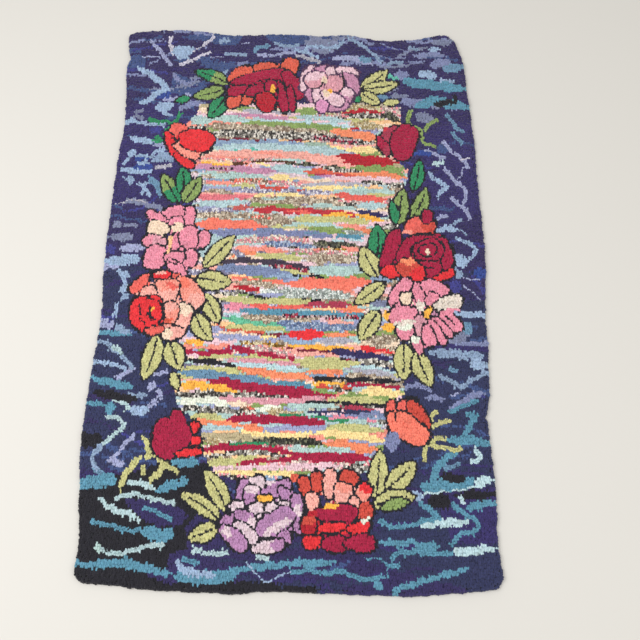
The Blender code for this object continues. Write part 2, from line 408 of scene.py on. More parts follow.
# Stripes, hit or miss. Columns: left x, right x, y at the left, middle and right, thickness, yarn.
BANDS = (
    (-5, 55, 470, 472, 465, 34, "oat_tweed"),
    (-162, -100, 455, 450, 452, 20, "grass"),
    (-5, 70, 440, 442, 436, 26, "grass"),
    (66, 125, 437, 436, 437, 12, "khaki_tweed"),
    (122, 215, 448, 452, 447, 14, "khaki_tweed"),
    (212, 262, 430, 425, 410, 60, "moss_tweed"),
    (125, 215, 430, 430, 425, 16, "pepper_tweed"),
    (118, 220, 436, 441, 435, 10, "crimson"),
    (-135, -5, 445, 440, 436, 12, "ash"),
    (-170, -10, 430, 427, 418, 12, "mauve"),
    (-20, 125, 416, 410, 404, 10, "blush"),
    (0, 140, 425, 420, 408, 14, "aqua"),
    (-215, -100, 425, 420, 412, 20, "mint"),
    (-258, -190, 408, 412, 416, 24, "mint"),
    (-130, 170, 412, 408, 390, 8, "ice"),
    (-135, 135, 404, 396, 385, 22, "grass"),
    (-240, -200, 390, 385, 382, 20, "khaki"),
    (135, 218, 402, 400, 392, 28, "khaki_tweed"),
    (130, 160, 394, 390, 388, 8, "crimson"),
    (-222, 100, 398, 388, 372, 22, "oat_tweed"),
    (-215, 205, 376, 370, 346, 24, "pepper_tweed"),
    (85, 222, 384, 372, 362, 24, "orange"),
    (35, 160, 365, 358, 352, 14, "wine_tweed"),
    (-192, -15, 358, 358, 345, 6, "wine"),
    (-15, 25, 357, 358, 356, 6, "wine"),
    (-200, 20, 348, 350, 345, 16, "sky"),
    (0, 125, 345, 335, 325, 12, "denim_tweed"),
    (20, 95, 345, 346, 335, 14, "sage"),
    (-190, 130, 335, 335, 320, 24, "aqua"),
    (-150, -88, 325, 330, 328, 18, "sea_green"),
    (-170, -110, 335, 333, 335, 8, "ice"),
    (-175, -130, 325, 325, 323, 5, "slate"),
    (85, 125, 340, 335, 330, 8, "buttercream"),
    (125, 212, 330, 328, 326, 22, "buttercream"),
    (128, 220, 309, 313, 318, 14, "grass"),
    (80, 255, 311, 299, 292, 30, "crimson"),
    (-225, 125, 312, 316, 298, 22, "pale_salmon"),
    (-215, -110, 312, 308, 306, 6, "salmon"),
    (-100, -20, 318, 320, 306, 8, "salmon"),
    (-5, 110, 305, 300, 290, 10, "pale_salmon"),
    (60, 150, 298, 290, 282, 14, "pale_salmon"),
    (-225, -130, 298, 292, 284, 14, "apricot"),
    (-225, -150, 292, 290, 283, 6, "marigold"),
    (-150, -112, 291, 290, 292, 6, "bark"),
    (-105, 10, 296, 297, 290, 6, "bark"),
    (-20, 110, 292, 287, 280, 8, "moss_tweed"),
    (-95, -55, 290, 290, 289, 6, "buttercream"),
    (-250, -40, 284, 276, 270, 18, "mauve"),
    (-205, -140, 279, 277, 275, 5, "wine_tweed"),
    (-65, 50, 282, 274, 266, 20, "aqua"),
    (20, 150, 268, 268, 258, 16, "coral"),
    (130, 270, 262, 262, 250, 22, "orange"),
    (60, 165, 280, 272, 268, 10, "pepper_tweed"),
    (150, 265, 272, 276, 268, 16, "grass"),
    (50, 150, 262, 256, 250, 6, "raspberry"),
    (60, 160, 258, 253, 248, 6, "orchid"),
    (70, 265, 250, 248, 240, 14, "blush"),
    (-230, -55, 260, 256, 250, 20, "mint"),
    (-222, -190, 258, 255, 252, 16, "oat_tweed"),
    (-65, 10, 256, 252, 247, 12, "buttercream"),
    (0, 90, 252, 246, 244, 8, "cream"),
    (-155, -10, 246, 243, 236, 12, "coral_tweed"),
    (-212, -140, 237, 237, 234, 14, "salmon"),
    (-155, -90, 232, 230, 228, 12, "pistachio"),
    (-60, 60, 240, 234, 228, 14, "rose_tweed"),
    (-85, 30, 230, 220, 216, 9, "tomato"),
    (-140, 100, 222, 212, 212, 14, "slate_tweed"),
    (20, 215, 234, 233, 236, 12, "ash"),
    (160, 215, 240, 238, 238, 14, "pepper_tweed"),
    (215, 265, 235, 232, 232, 26, "pepper_tweed"),
    (20, 180, 222, 224, 222, 12, "buttercream"),
    (175, 218, 225, 224, 222, 18, "apricot"),
    (95, 240, 214, 214, 212, 20, "mint"),
    (170, 240, 204, 205, 203, 8, "pistachio"),
    (-235, -95, 200, 199, 201, 16, "rose_red"),
    (-215, -140, 218, 214, 212, 12, "oat_tweed"),
    (-95, 20, 204, 206, 203, 8, "buttercream"),
    (20, 105, 203, 200, 198, 8, "apricot"),
    (-110, 120, 190, 190, 182, 22, "oat_tweed"),
    (-80, -20, 196, 194, 195, 8, "mint"),
    (-240, -105, 183, 181, 190, 18, "aqua"),
    (-105, 10, 178, 178, 173, 8, "grass"),
    (95, 228, 208, 196, 191, 17, "coral_red"),
    (110, 150, 182, 180, 182, 12, "pepper_tweed"),
    (30, 150, 176, 173, 168, 12, "mint"),
    (145, 222, 174, 177, 174, 22, "aqua"),
    (-240, -150, 170, 169, 170, 10, "lavender"),
    (-235, -95, 160, 164, 167, 10, "slate_tweed"),
    (-145, -95, 168, 172, 172, 10, "brick"),
    (-100, 155, 165, 162, 150, 15, "red"),
    (-15, 40, 162, 161, 158, 10, "coral_red"),
    (148, 220, 163, 154, 148, 16, "purple"),
    (65, 150, 152, 152, 148, 8, "marigold"),
    (145, 215, 150, 143, 137, 13, "marigold"),
    (-5, 180, 142, 140, 132, 18, "pistachio"),
    (-245, -100, 150, 150, 150, 16, "oat_tweed"),
    (-120, 10, 135, 136, 135, 34, "oat_tweed"),
    (-100, -50, 147, 146, 143, 8, "coral_tweed"),
    (-240, -60, 126, 128, 119, 26, "melon"),
    (-50, 50, 121, 120, 118, 8, "pistachio"),
    (35, 110, 114, 115, 112, 14, "grass"),
    (100, 185, 123, 120, 108, 12, "salmon"),
    (155, 190, 112, 108, 103, 14, "orange"),
    (110, 175, 110, 106, 100, 12, "grey_tweed"),
    (-205, 95, 106, 106, 97, 17, "periwinkle"),
    (-95, -40, 112, 111, 110, 8, "denim"),
    (25, 60, 106, 105, 102, 8, "steel"),
    (-215, -150, 92, 90, 90, 30, "aqua"),
    (-230, -160, 50, 60, 80, 60, "aqua"),
    (90, 165, 96, 96, 93, 10, "teal"),
    (90, 165, 86, 85, 86, 6, "ice"),
    (-135, 50, 82, 86, 84, 16, "rose_tweed"),
    (-78, 55, 76, 76, 66, 12, "denim_tweed"),
    (42, 150, 80, 76, 72, 14, "moss_tweed"),
    (-135, -10, 64, 63, 55, 14, "salmon"),
    (-125, -75, 53, 53, 50, 10, "orange"),
    (-155, -135, 40, 42, 45, 14, "orange"),
    (-10, 150, 58, 55, 55, 12, "rose_tweed"),
    (60, 125, 64, 63, 60, 5, "amber_tweed"),
    (-90, 28, 46, 44, 36, 16, "pistachio"),
    (20, 150, 38, 40, 34, 24, "oat_tweed"),
    (-135, -105, 48, 45, 40, 12, "slate"),
    (-175, 40, 26, 33, 10, 13, "ink"),
    (-60, 38, 24, 16, 8, 10, "wine_tweed"),
    (-175, 10, 16, 8, -6, 24, "denim"),
    (-55, 45, -4, -5, -4, 9, "pale_blue"),
    (38, 165, 8, 8, 4, 28, "mint"),
    (-5, 70, 1, -3, -6, 5, "black"),
    (-15, 182, -22, -25, -18, 32, "melon"),
    (-140, -10, -8, -16, -22, 8, "melon"),
    (-135, -20, -18, -24, -30, 14, "oat_tweed"),
    (-135, -62, -32, -36, -42, 12, "crimson"),
    (-75, 140, -42, -48, -55, 24, "grey_tweed"),
    (-90, -20, -48, -52, -50, 10, "lavender"),
    (-175, -100, -45, -46, -48, 10, "pepper_tweed"),
    (-100, 50, -50, -62, -62, 6, "black"),
    (40, 75, -67, -67, -67, 6, "black"),
    (-165, 40, -60, -67, -68, 14, "pistachio"),
    (-160, -85, -79, -80, -82, 20, "rose_pink"),
    (-100, 45, -74, -83, -80, 12, "coral_red"),
    (25, 132, -76, -75, -76, 14, "raspberry"),
    (40, 105, -86, -87, -88, 12, "apricot"),
    (100, 165, -86, -87, -88, 12, "orange"),
    (-118, 160, -88, -96, -100, 14, "teal"),
    (-160, -110, -97, -99, -100, 8, "ice"),
    (-155, 0, -108, -118, -132, 16, "seafoam"),
    (-115, 60, -104, -110, -108, 16, "oat_tweed"),
    (-30, 150, -103, -104, -106, 8, "wine_tweed"),
    (75, 140, -116, -116, -122, 10, "pale_salmon"),
    (-35, 150, -118, -128, -130, 18, "denim_tweed"),
    (-155, -15, -128, -130, -135, 14, "pistachio"),
    (-168, -150, -125, -128, -135, 16, "coral"),
    (-155, -60, -138, -139, -141, 5, "coral"),
    (-172, -75, -145, -144, -146, 10, "cream"),
    (-60, -15, -141, -142, -143, 6, "mint"),
    (-18, 80, -142, -147, -143, 22, "scarlet"),
    (72, 140, -147, -147, -148, 14, "orange"),
    (-78, -15, -143, -149, -147, 5, "wine"),
    (-70, -25, -153, -153, -152, 10, "buttercream"),
    (-175, -70, -153, -151, -153, 12, "lavender"),
    (55, 140, -162, -162, -160, 18, "ash"),
    (-25, 65, -158, -166, -158, 12, "pale_blue"),
    (-10, 135, -172, -176, -180, 10, "marigold"),
    (-248, -190, -165, -163, -168, 12, "marigold"),
    (-195, -120, -165, -168, -162, 16, "blush"),
    (-248, -125, -175, -176, -172, 10, "salmon"),
    (-246, -120, -184, -190, -178, 14, "burgundy"),
    (-140, 12, -174, -190, -204, 17, "burgundy"),
    (-112, -5, -166, -168, -176, 10, "amber_tweed"),
    (-105, 10, -172, -184, -196, 12, "rose_tweed"),
    (-5, 110, -186, -190, -192, 12, "pale_salmon"),
    (-10, 110, -178, -184, -190, 5, "wine"),
    (80, 228, -184, -193, -206, 15, "purple"),
    (145, 222, -178, -182, -188, 9, "scarlet"),
    (160, 240, -158, -160, -158, 40, "oat_tweed"),
    (-242, -150, -196, -198, -202, 10, "cream"),
    (-240, -200, -194, -194, -196, 6, "blush"),
    (-205, 5, -198, -198, -212, 9, "pistachio"),
    (-150, 30, -206, -208, -216, 9, "dusty_pink"),
    (-245, -118, -204, -209, -220, 10, "black"),
    (-130, 30, -214, -220, -228, 10, "ice"),
    (0, 148, -208, -213, -212, 28, "pistachio"),
    (108, 140, -202, -204, -206, 7, "wine_tweed"),
    (140, 228, -207, -211, -215, 14, "pepper_tweed"),
    (140, 235, -219, -222, -230, 6, "navy"),
    (-245, -105, -224, -227, -232, 16, "pistachio"),
    (-120, 48, -222, -238, -245, 17, "orange"),
    (30, 120, -232, -233, -234, 12, "orange"),
    (115, 235, -226, -232, -250, 14, "ash"),
    (130, 230, -220, -224, -236, 7, "ice"),
    (-250, -30, -232, -243, -258, 18, "steel"),
    (-45, 50, -258, -262, -264, 16, "teal"),
    (115, 225, -240, -243, -250, 12, "oat_tweed"),
    (45, 235, -247, -250, -256, 10, "black"),
    (-230, -120, -272, -272, -282, 8, "blush"),
    (45, 125, -259, -259, -262, 9, "marigold"),
    (55, 130, -265, -268, -270, 9, "tomato"),
    (-185, 98, -250, -272, -284, 22, "burgundy"),
    (-252, -118, -262, -264, -277, 18, "marigold"),
    (120, 242, -260, -264, -270, 10, "burgundy"),
    (38, 100, -268, -276, -280, 8, "grass"),
    (90, 145, -272, -276, -280, 10, "pepper_tweed"),
    (145, 243, -277, -277, -283, 20, "buttercream"),
    (-245, -75, -284, -280, -292, 12, "pepper_tweed"),
    (-250, -125, -298, -296, -303, 16, "ivory"),
    (-155, 75, -290, -298, -290, 14, "dusty_pink"),
    (100, 225, -284, -288, -296, 10, "grass"),
    (80, 215, -296, -295, -303, 16, "pistachio"),
    (-140, -75, -305, -303, -308, 8, "cream"),
    (-120, -75, -310, -313, -316, 10, "coral_tweed"),
    (-78, -20, -313, -312, -311, 14, "ivory"),
    (-15, 105, -308, -308, -312, 12, "mint"),
    (30, 215, -299, -303, -310, 6, "black"),
    (105, 178, -312, -314, -317, 10, "raspberry"),
    (-240, -60, -312, -318, -326, 14, "pepper_tweed"),
    (-55, 30, -320, -322, -324, 12, "khaki_tweed"),
    (35, 180, -320, -322, -320, 8, "navy"),
    (170, 205, -318, -325, -335, 26, "denim"),
    (100, 190, -329, -329, -324, 8, "periwinkle"),
    (75, 180, -333, -336, -342, 8, "rose_pink"),
    (-225, -135, -332, -332, -338, 16, "pistachio"),
    (-25, 80, -328, -329, -336, 5, "emerald"),
    (-140, 75, -336, -338, -345, 18, "burgundy"),
    (72, 140, -338, -342, -342, 8, "emerald"),
    (-205, -50, -340, -348, -360, 10, "orange"),
    (-110, -50, -350, -357, -360, 13, "orange"),
    (-195, -95, -352, -357, -358, 14, "aqua"),
    (110, 195, -346, -343, -352, 8, "mint"),
    (75, 120, -350, -352, -354, 5, "pepper_tweed"),
    (-50, 85, -358, -357, -360, 14, "lavender"),
    (75, 200, -357, -355, -365, 16, "pistachio"),
    (-180, -105, -368, -365, -366, 10, "apricot"),
    (-108, 60, -362, -372, -366, 12, "buttercream"),
    (50, 200, -366, -372, -385, 18, "buttercream"),
    (-195, -60, -372, -375, -380, 18, "khaki"),
    (-195, -130, -380, -385, -388, 14, "khaki_tweed"),
    (-95, 68, -386, -384, -388, 15, "moss_tweed"),
    (60, 110, -382, -380, -384, 6, "grass"),
    (66, 184, -388, -396, -402, 22, "orange"),
    (-150, -10, -397, -388, -402, 6, "emerald"),
    (-188, 5, -402, -397, -410, 13, "burgundy"),
    (-8, 130, -400, -402, -404, 13, "mint"),
    (0, 170, -414, -418, -420, 20, "burgundy"),
    (-180, 5, -418, -408, -420, 9, "pepper_tweed"),
    (-175, -55, -428, -424, -418, 16, "pistachio"),
    (-118, 20, -430, -425, -420, 9, "burgundy"),
    (-100, 115, -437, -438, -436, 12, "blush"),
    (112, 170, -436, -440, -445, 24, "pepper_tweed"),
    (-85, 45, -444, -447, -450, 6, "grass"),
    (-155, 25, -447, -450, -456, 9, "buttercream"),
    (-140, -85, -458, -465, -480, 30, "pepper_tweed"),
    (-18, 28, -461, -461, -460, 10, "coral"),
    (-12, 20, -475, -480, -490, 20, "aqua"),
    (-246, -198, -142, -142, -142, 30, "lavender"),
    (-205, -160, -37, -37, -37, 10, "pale_blue"),
    (165, 222, -73, -73, -73, 28, "slate"),
    (215, 258, -26, -26, -26, 40, "oat_tweed"),
    (240, 270, 285, 285, 285, 28, "khaki"),
    (198, 252, 118, 120, 118, 34, "pepper_tweed"),
    (-238, -213, 455, 455, 455, 40, "khaki"),
)

# Leaves, in runs of the same yarns. Columns: yarn, yarn of the tip's half, then for each leaf the x and y
# of its foot, the x and y of its tip, and its width.
LEAF_RUNS = (
    ("grass", "emerald", (-165, 522, -258, 562, 34)),
    ("grass", "grass", (-175, 510, -258, 484, 34)),
    ("emerald", "emerald", (-262, 482, -302, 470, 20), (-175, 487, -215, 422, 42)),
    ("pistachio", "pistachio", (163, 508, 235, 566, 38), (166, 508, 264, 526, 34), (160, 497, 214, 462, 32),
     (218, 462, 266, 470, 20)),
    ("emerald", "emerald", (143, 495, 165, 465, 20)),
    ("emerald", "grass", (-272, 182, -318, 264, 38)),
    ("emerald", "emerald", (-267, 205, -272, 284, 36)),
    ("grass", "grass", (-262, 183, -224, 255, 38)),
    ("emerald", "emerald", (282, 212, 304, 304, 30)),
    ("grass", "grass", (246, 124, 262, 222, 40), (277, 142, 316, 227, 34)),
    ("emerald", "emerald", (240, 125, 230, 190, 22), (192, 30, 195, 128, 44)),
    ("pistachio", "pistachio", (195, -8, 158, 70, 44), (212, -20, 138, -74, 36), (196, -90, 150, -162, 40),
     (246, -165, 243, -254, 42), (274, -186, 305, -266, 42), (-206, 16, -135, 100, 40),
     (-222, -10, -138, -20, 46), (-202, -48, -164, -122, 36), (-220, -93, -177, -162, 38),
     (-298, -146, -324, -252, 42), (-272, -160, -246, -228, 44), (-260, -232, -244, -274, 20),
     (-125, -532, -182, -440, 36), (-140, -549, -230, -491, 31), (-145, -557, -208, -582, 36),
     (176, -506, 188, -400, 38), (196, -486, 262, -426, 42), (168, -517, 260, -498, 40)),
    ("grass", "grass", (184, -526, 250, -510, 22)),
)

# Stems and sepals. Columns: yarn, width, then the places that a stem passes.
STEMS = (
    ("grass", 7, (283, 400), (281, 425), (288, 446)),
    ("grass", 7, (283, 402), (310, 385), (312, 358), (324, 345), (348, 336)),
    ("grass", 8, (318, 384), (335, 404), (355, 420)),
    ("pistachio", 9, (-316, -373), (-303, -385), (-297, -405), (-280, -415), (-268, -430)),
    ("pistachio", 8, (-297, -405), (-300, -422)),
    ("pistachio", 9, (-268, -430), (-270, -445), (-288, -460), (-290, -472)),
    ("pistachio", 6, (-268, -428), (-250, -438), (-232, -452)),
    ("pistachio", 9, (-312, -412), (-330, -435), (-345, -455), (-350, -486)),
    ("pistachio", 6, (-308, -435), (-304, -452)),
    ("pistachio", 8, (280, -430), (283, -400), (290, -385), (297, -360), (312, -347), (342, -341)),
    ("pistachio", 8, (296, -345), (303, -328), (316, -319)),
    ("pistachio", 8, (295, -380), (330, -380)),
    ("pistachio", 7, (292, -388), (312, -396), (345, -402), (362, -398)),
)

# Flowers and buds, each with its petals from the outermost in, in runs of the same yarns. Columns: yarn,
# yarn of the tip, then for each petal its x, y, length, width and heading in degrees.
PETALS = {
    "dark_red_rose": (
        ("coral", "coral", (-141, 551, 68, 38, 38), (-76, 571, 62, 36, -4), (-15, 572, 60, 44, 75),
         (-148, 470, 50, 34, 200), (-118, 480, 46, 26, 250)),
        ("burgundy", "burgundy", (-88, 539, 146, 46, 12), (-6, 522, 94, 38, -64), (-10, 480, 76, 22, -84),
         (-32, 484, 92, 24, -80), (-145, 504, 52, 30, 200), (-98, 502, 56, 34, 20), (-62, 512, 44, 30, 80)),
        ("crimson", "crimson", (-73, 470, 60, 50, -60)),
    ),
    "lilac_rose": (
        ("blush", "blush", (32, 540, 84, 34, 70)),
        ("mauve", "mauve", (66, 564, 48, 28, 15)),
        ("blush", "blush", (90, 560, 36, 26, 85), (132, 560, 60, 30, -20)),
        ("mauve", "mauve", (132, 521, 72, 56, -80)),
        ("dusty_pink", "blush", (54, 530, 62, 56, 110)),
        ("dusty_pink", "dusty_pink", (100, 518, 60, 50, 70)),
        ("mauve", "mauve", (40, 486, 40, 26, 110)),
        ("blush", "blush", (58, 488, 42, 30, 90)),
        ("mauve", "blush", (126, 482, 58, 38, 70)),
        ("mauve", "mauve", (104, 458, 60, 36, 12)),
        ("blush", "blush", (94, 480, 66, 34, -35)),
        ("bright_orchid", "bright_orchid", (68, 455, 38, 32, 90)),
    ),
    "pink_peony": (
        ("rose_pink", "rose_pink", (-208, 88, 46, 28, 80), (-247, 145, 60, 30, 90), (-285, 158, 58, 32, 15),
         (-322, 147, 56, 24, 150), (-274, 124, 46, 36, 90)),
        ("cream", "cream", (-316, 117, 54, 38, 170)),
        ("dusty_pink", "rose_pink", (-322, 84, 58, 32, 175)),
        ("rose_pink", "rose_pink", (-272, 82, 50, 22, 80), (-243, 92, 62, 44, 100), (-238, 40, 44, 38, 90),
         (-317, 42, 62, 54, 60), (-274, 42, 48, 32, 0), (-268, 16, 60, 26, -40)),
    ),
    "coral_rose": (
        ("coral_red", "coral_red", (-348, -22, 58, 26, 230), (-268, -8, 24, 20, 0)),
        ("salmon", "pale_salmon", (-232, -44, 88, 46, -58)),
        ("pale_salmon", "salmon", (-286, -42, 66, 54, 90)),
        ("scarlet", "scarlet", (-300, -2, 42, 22, 0)),
        ("pale_salmon", "pale_salmon", (-327, -46, 40, 34, 30)),
        ("pale_salmon", "cream", (-245, -104, 66, 38, 80), (-263, -142, 52, 30, 190)),
        ("salmon", "pale_salmon", (-274, -94, 54, 38, 90)),
        ("scarlet", "scarlet", (-328, -95, 84, 72, 90)),
        ("coral_red", "coral_red", (-306, -136, 44, 20, 190)),
    ),
    "large_red_rose": (
        ("coral_red", "tomato", (296, 124, 72, 44, 5)),
        ("burgundy", "burgundy", (314, 146, 36, 26, 70), (225, 62, 104, 36, 70)),
        ("scarlet", "scarlet", (222, 6, 42, 32, 0)),
        ("burgundy", "burgundy", (345, 28, 50, 42, -60)),
        ("scarlet", "scarlet", (345, -2, 52, 28, 30)),
        ("burgundy", "burgundy", (304, 52, 124, 98, 3), (310, 14, 62, 42, 10)),
        ("tomato", "scarlet", (270, 9, 70, 52, -40)),
        ("burgundy", "burgundy", (312, 60, 76, 52, 10), (311, 60, 42, 30, 10)),
    ),
    "pink_flower": (
        ("rose_pink", "rose_pink", (242, -44, 78, 30, 52)),
        ("cream", "cream", (256, -60, 34, 26, 90)),
        ("rose_pink", "rose_pink", (287, -56, 66, 26, 100), (322, -36, 66, 38, -25), (316, -64, 38, 32, 40)),
        ("chalk", "chalk", (352, -72, 66, 36, 15)),
        ("rose_pink", "rose_pink", (249, -100, 66, 42, 190)),
        ("rose_pink", "ivory", (252, -140, 40, 42, 90)),
        ("dusty_pink", "dusty_pink", (283, -126, 52, 24, 90)),
        ("mauve", "mauve", (320, -106, 36, 26, 0)),
        ("rose_pink", "rose_pink", (352, -116, 60, 38, -45), (335, -128, 62, 20, -50),
         (322, -141, 66, 22, -60), (303, -149, 54, 28, -78)),
        ("rose_pink", "ivory", (277, -170, 44, 24, 110)),
        ("marigold", "marigold", (304, -95, 32, 16, 65)),
    ),
    "orchid_flower": (
        ("pale_lilac", "pale_lilac", (-70, -470, 36, 28, 0)),
        ("orchid", "orchid", (-99, -488, 52, 24, 80), (-28, -484, 62, 32, 20), (-8, -500, 52, 24, -60),
         (14, -532, 78, 28, 95)),
        ("orchid", "pale_lilac", (-79, -497, 44, 34, 90)),
        ("pale_lilac", "pale_lilac", (-110, -517, 32, 20, 0), (-67, -521, 36, 24, 0), (-39, -521, 28, 22, 0),
         (-12, -516, 26, 20, 0)),
        ("orchid", "orchid", (-120, -546, 48, 26, 200)),
        ("orchid", "pale_lilac", (-90, -543, 52, 30, -35)),
        ("orchid", "orchid", (-30, -550, 84, 46, 30)),
        ("pale_lilac", "pale_lilac", (-90, -568, 62, 26, -40)),
        ("orchid", "orchid", (-114, -580, 70, 32, -40), (-12, -580, 30, 26, 0)),
        ("pale_lilac", "orchid", (-42, -597, 68, 26, 10)),
        ("marigold", "marigold", (-53, -502, 36, 16, 0)),
    ),
    "red_flower": (
        ("tomato", "tomato", (33, -482, 52, 28, 110), (55, -470, 46, 26, 90)),
        ("pale_salmon", "pale_salmon", (82, -474, 62, 28, 90)),
        ("tomato", "tomato", (120, -464, 42, 38, 60)),
        ("salmon", "scarlet", (150, -492, 42, 32, 60)),
        ("pale_salmon", "salmon", (108, -492, 46, 38, 80)),
        ("pale_salmon", "pale_salmon", (46, -512, 44, 28, 100), (130, -514, 34, 22, 80)),
        ("tomato", "tomato", (154, -532, 42, 32, 80)),
        ("burgundy", "burgundy", (95, -533, 86, 38, 0)),
        ("crimson", "tomato", (38, -558, 44, 32, 90)),
        ("scarlet", "scarlet", (85, -560, 58, 20, 5), (140, -560, 48, 24, 10), (48, -588, 44, 28, 190)),
        ("burgundy", "burgundy", (90, -592, 52, 34, 0), (142, -591, 62, 34, 0)),
    ),
    "red_bud": (
        ("coral_red", "coral_red", (-283, 387, 48, 34, 160)),
        ("scarlet", "scarlet", (-301, 349, 72, 26, -68), (-268, 301, 62, 26, -40)),
        ("salmon", "salmon", (-264, 326, 74, 26, -32)),
        ("scarlet", "scarlet", (-241, 358, 86, 60, -12)),
    ),
    "crimson_bud": (
        ("burgundy", "raspberry", (220, 341, 58, 30, -60)),
        ("raspberry", "raspberry", (244, 374, 60, 44, 20)),
        ("burgundy", "burgundy", (268, 350, 100, 62, 75)),
    ),
    "burgundy_bud": (
        ("scarlet", "scarlet", (-210, -384, 42, 20, 10), (-206, -356, 30, 22, 70)),
        ("burgundy", "burgundy", (-245, -336, 44, 24, 85), (-255, -378, 84, 78, 70)),
        ("scarlet", "scarlet", (-214, -408, 58, 18, 6)),
    ),
    "coral_bud": (
        ("coral_red", "coral_red", (219, -326, 56, 32, 100), (250, -306, 48, 30, 10)),
        ("tomato", "tomato", (272, -328, 76, 32, -60)),
        ("melon", "melon", (247, -355, 98, 54, -35)),
    ),
}

# The flower whose petals are edged in another yarn than black.
LINE_YARNS = {"lilac_rose": "plum"}

# Small spots inside the flowers, with no dark line round them.
# Columns: x, y, length, width, heading in degrees, yarn.
SPOTS = (
    (-56, 508, 24, 14, 90, "marigold"),
    (88, 500, 14, 12, 0, "marigold"),
    (74, 534, 22, 14, 90, "cream"),
    (78, 494, 24, 15, -60, "cream"),
    (265, 106, 26, 12, 0, "salmon"),
    (264, 31, 32, 18, 0, "orange"),
    (311, 57, 18, 9, 90, "cream"),
    (-286, 76, 46, 11, 85, "apricot"),
    (-273, 120, 30, 24, 0, "cream"),
    (-317, -86, 16, 11, 90, "marigold"),
    (-303, 4, 30, 8, 0, "pale_salmon"),
    (-276, -28, 30, 14, -30, "coral_red"),
    (-246, -20, 30, 20, -55, "melon"),
    (-278, -112, 24, 10, 0, "coral"),
    (248, -118, 56, 12, 5, "chalk"),
    (288, -79, 26, 20, 90, "chalk"),
    (354, -90, 50, 9, 10, "rose_pink"),
    (212, -103, 24, 10, 90, "marigold"),
    (213, -130, 28, 20, 0, "marigold"),
    (-127, -570, 22, 16, 130, "pale_lilac"),
    (-27, -560, 66, 17, 30, "pale_lilac"),
    (16, -526, 28, 13, 95, "pale_lilac"),
    (-40, -470, 24, 10, 10, "pale_lilac"),
    (155, -546, 24, 9, 20, "ivory"),
    (85, -518, 30, 10, 0, "marigold"),
    (45, -533, 20, 10, 0, "crimson"),
    (-240, -344, 46, 34, 115, "burgundy"),
    (225, 388, 14, 12, 0, "red"),
    (-222, -428, 60, 20, 0, "teal"),
    (214, -385, 40, 30, 90, "periwinkle"),
)

# Dark curls drawn inside the flowers, with one row of yarn each. Columns: the places that a curl passes.
CURLS = (
    ((-165, 522), (-120, 518), (-90, 532), (-50, 536), (-20, 512)),
    ((-48, 530), (-42, 490), (-52, 452)),
    ((-110, 486), (-98, 474), (-100, 460)),
    ((40, 508), (62, 512), (70, 530)),
    ((118, 560), (124, 520), (112, 500)),
    ((-290, 122), (-278, 126)),
    ((-297, 35), (-289, 27)),
    ((-283, 30), (-268, 24)),
    ((-328, -60), (-314, -62)),
    ((-345, -75), (-341, -98)),
    ((-325, -95), (-316, -110)),
    ((-343, -107), (-329, -120), (-330, -135)),
    ((-302, -66), (-289, -82), (-286, -104), (-293, -121), (-312, -124)),
    ((-297, -72), (-292, -90), (-291, -106), (-299, -118)),
    ((-322, -74), (-318, -100), (-306, -110)),
    ((256, 86), (275, 96), (320, 98), (356, 90)),
    ((284, 80), (276, 62), (282, 44)),
    ((340, 84), (350, 62), (344, 42)),
    ((290, 28), (300, 18), (322, 14)),
    ((344, -104), (362, -122)),
    ((-300, 364), (-286, 352)),
    ((222, -338), (226, -320), (244, -320), (266, -336), (288, -358)),
)

# The pile. One loop, from its root in the backing to its crown.
# Columns: share along the row, share across it, share of the height, and a factor on the yarn's colour there
# that is painted shade at the root and shoulder and a painted highlight at the crown.
LOOP_POINTS = (
    (-0.46, -0.46, 0.00, 0.72),
    (0.46, -0.46, 0.00, 0.72),
    (0.46, 0.46, 0.00, 0.72),
    (-0.46, 0.46, 0.00, 0.72),
    (-0.50, -0.50, 0.80, 0.95),
    (0.50, -0.50, 0.80, 0.95),
    (0.50, 0.50, 0.80, 0.95),
    (-0.50, 0.50, 0.80, 0.95),
    (0.00, 0.00, 1.00, 1.10),
)
LOOP_FACES = (
    (3, 2, 1, 0),
    (0, 1, 5, 4), (1, 2, 6, 5), (2, 3, 7, 6), (3, 0, 4, 7),
    (4, 5, 8), (5, 6, 8), (6, 7, 8), (7, 4, 8),
)
# The numbers of corners that those faces have, in the order in which a mesh holds them.
FACE_SIZES = (4, 3)

# Where each corner of those faces lies in a loop's own cell of the bake map: the foot's four corners
# take a strip at the cell's top, and the walls and the crown take the square below it.
SQUARE = ((0.04, 0.04), (0.96, 0.04), (0.96, 0.82), (0.04, 0.82))
SHOULDER = ((0.26, 0.24), (0.74, 0.24), (0.74, 0.62), (0.26, 0.62))
CROWN = (0.50, 0.43)
STRIP = ((0.04, 0.96), (0.96, 0.96), (0.96, 0.90), (0.04, 0.90))

# Pieces of pile. Columns: name, part of the design, lowest and highest y that it takes.
PILE_PIECES = (
    ("ground_pile_far", GROUND, 230, 900),
    ("ground_pile_middle", GROUND, -230, 230),
    ("ground_pile_near", GROUND, -900, -230),
    ("striped_pile_far", STRIPES, 0, 900),
    ("striped_pile_near", STRIPES, -900, 0),
    ("leaf_pile", LEAVES, -900, 900),
    ("flower_pile", FLOWERS, -900, 900),
)

# The seed of all that is hooked at random.
HOOKING_SEED = 71
# A whole turn in radians, and the range from which the start of a wobble is drawn.
WHOLE_TURN = 6.28
PHASES = 6.3
# Smooth noises over the rug: how many sine waves make one and how far they are stretched, then for each
# noise how far apart its swells lie in millimetres, and its seed.
WAVE_COUNT = 7
WAVE_STRETCH = (0.7, 1.5)
ROW_WAVES = (130.0, 5)
PILE_WAVES = (120.0, 9)
DYE_WAVES = (46.0, 12)
BED_WAVES = (9.0, 31)

# How evenly the loops are set: their scatter as shares of the gaps between loops and between rows, and
# the rows' sway in millimetres. Filled rows and drawn lines end these shares of a row gap inside the rim.
LOOP_SCATTER = 0.10
ROW_SCATTER = 0.06
ROW_SWAY = 2.6
FILL_INSET = 0.9
LINE_INSET = 0.5
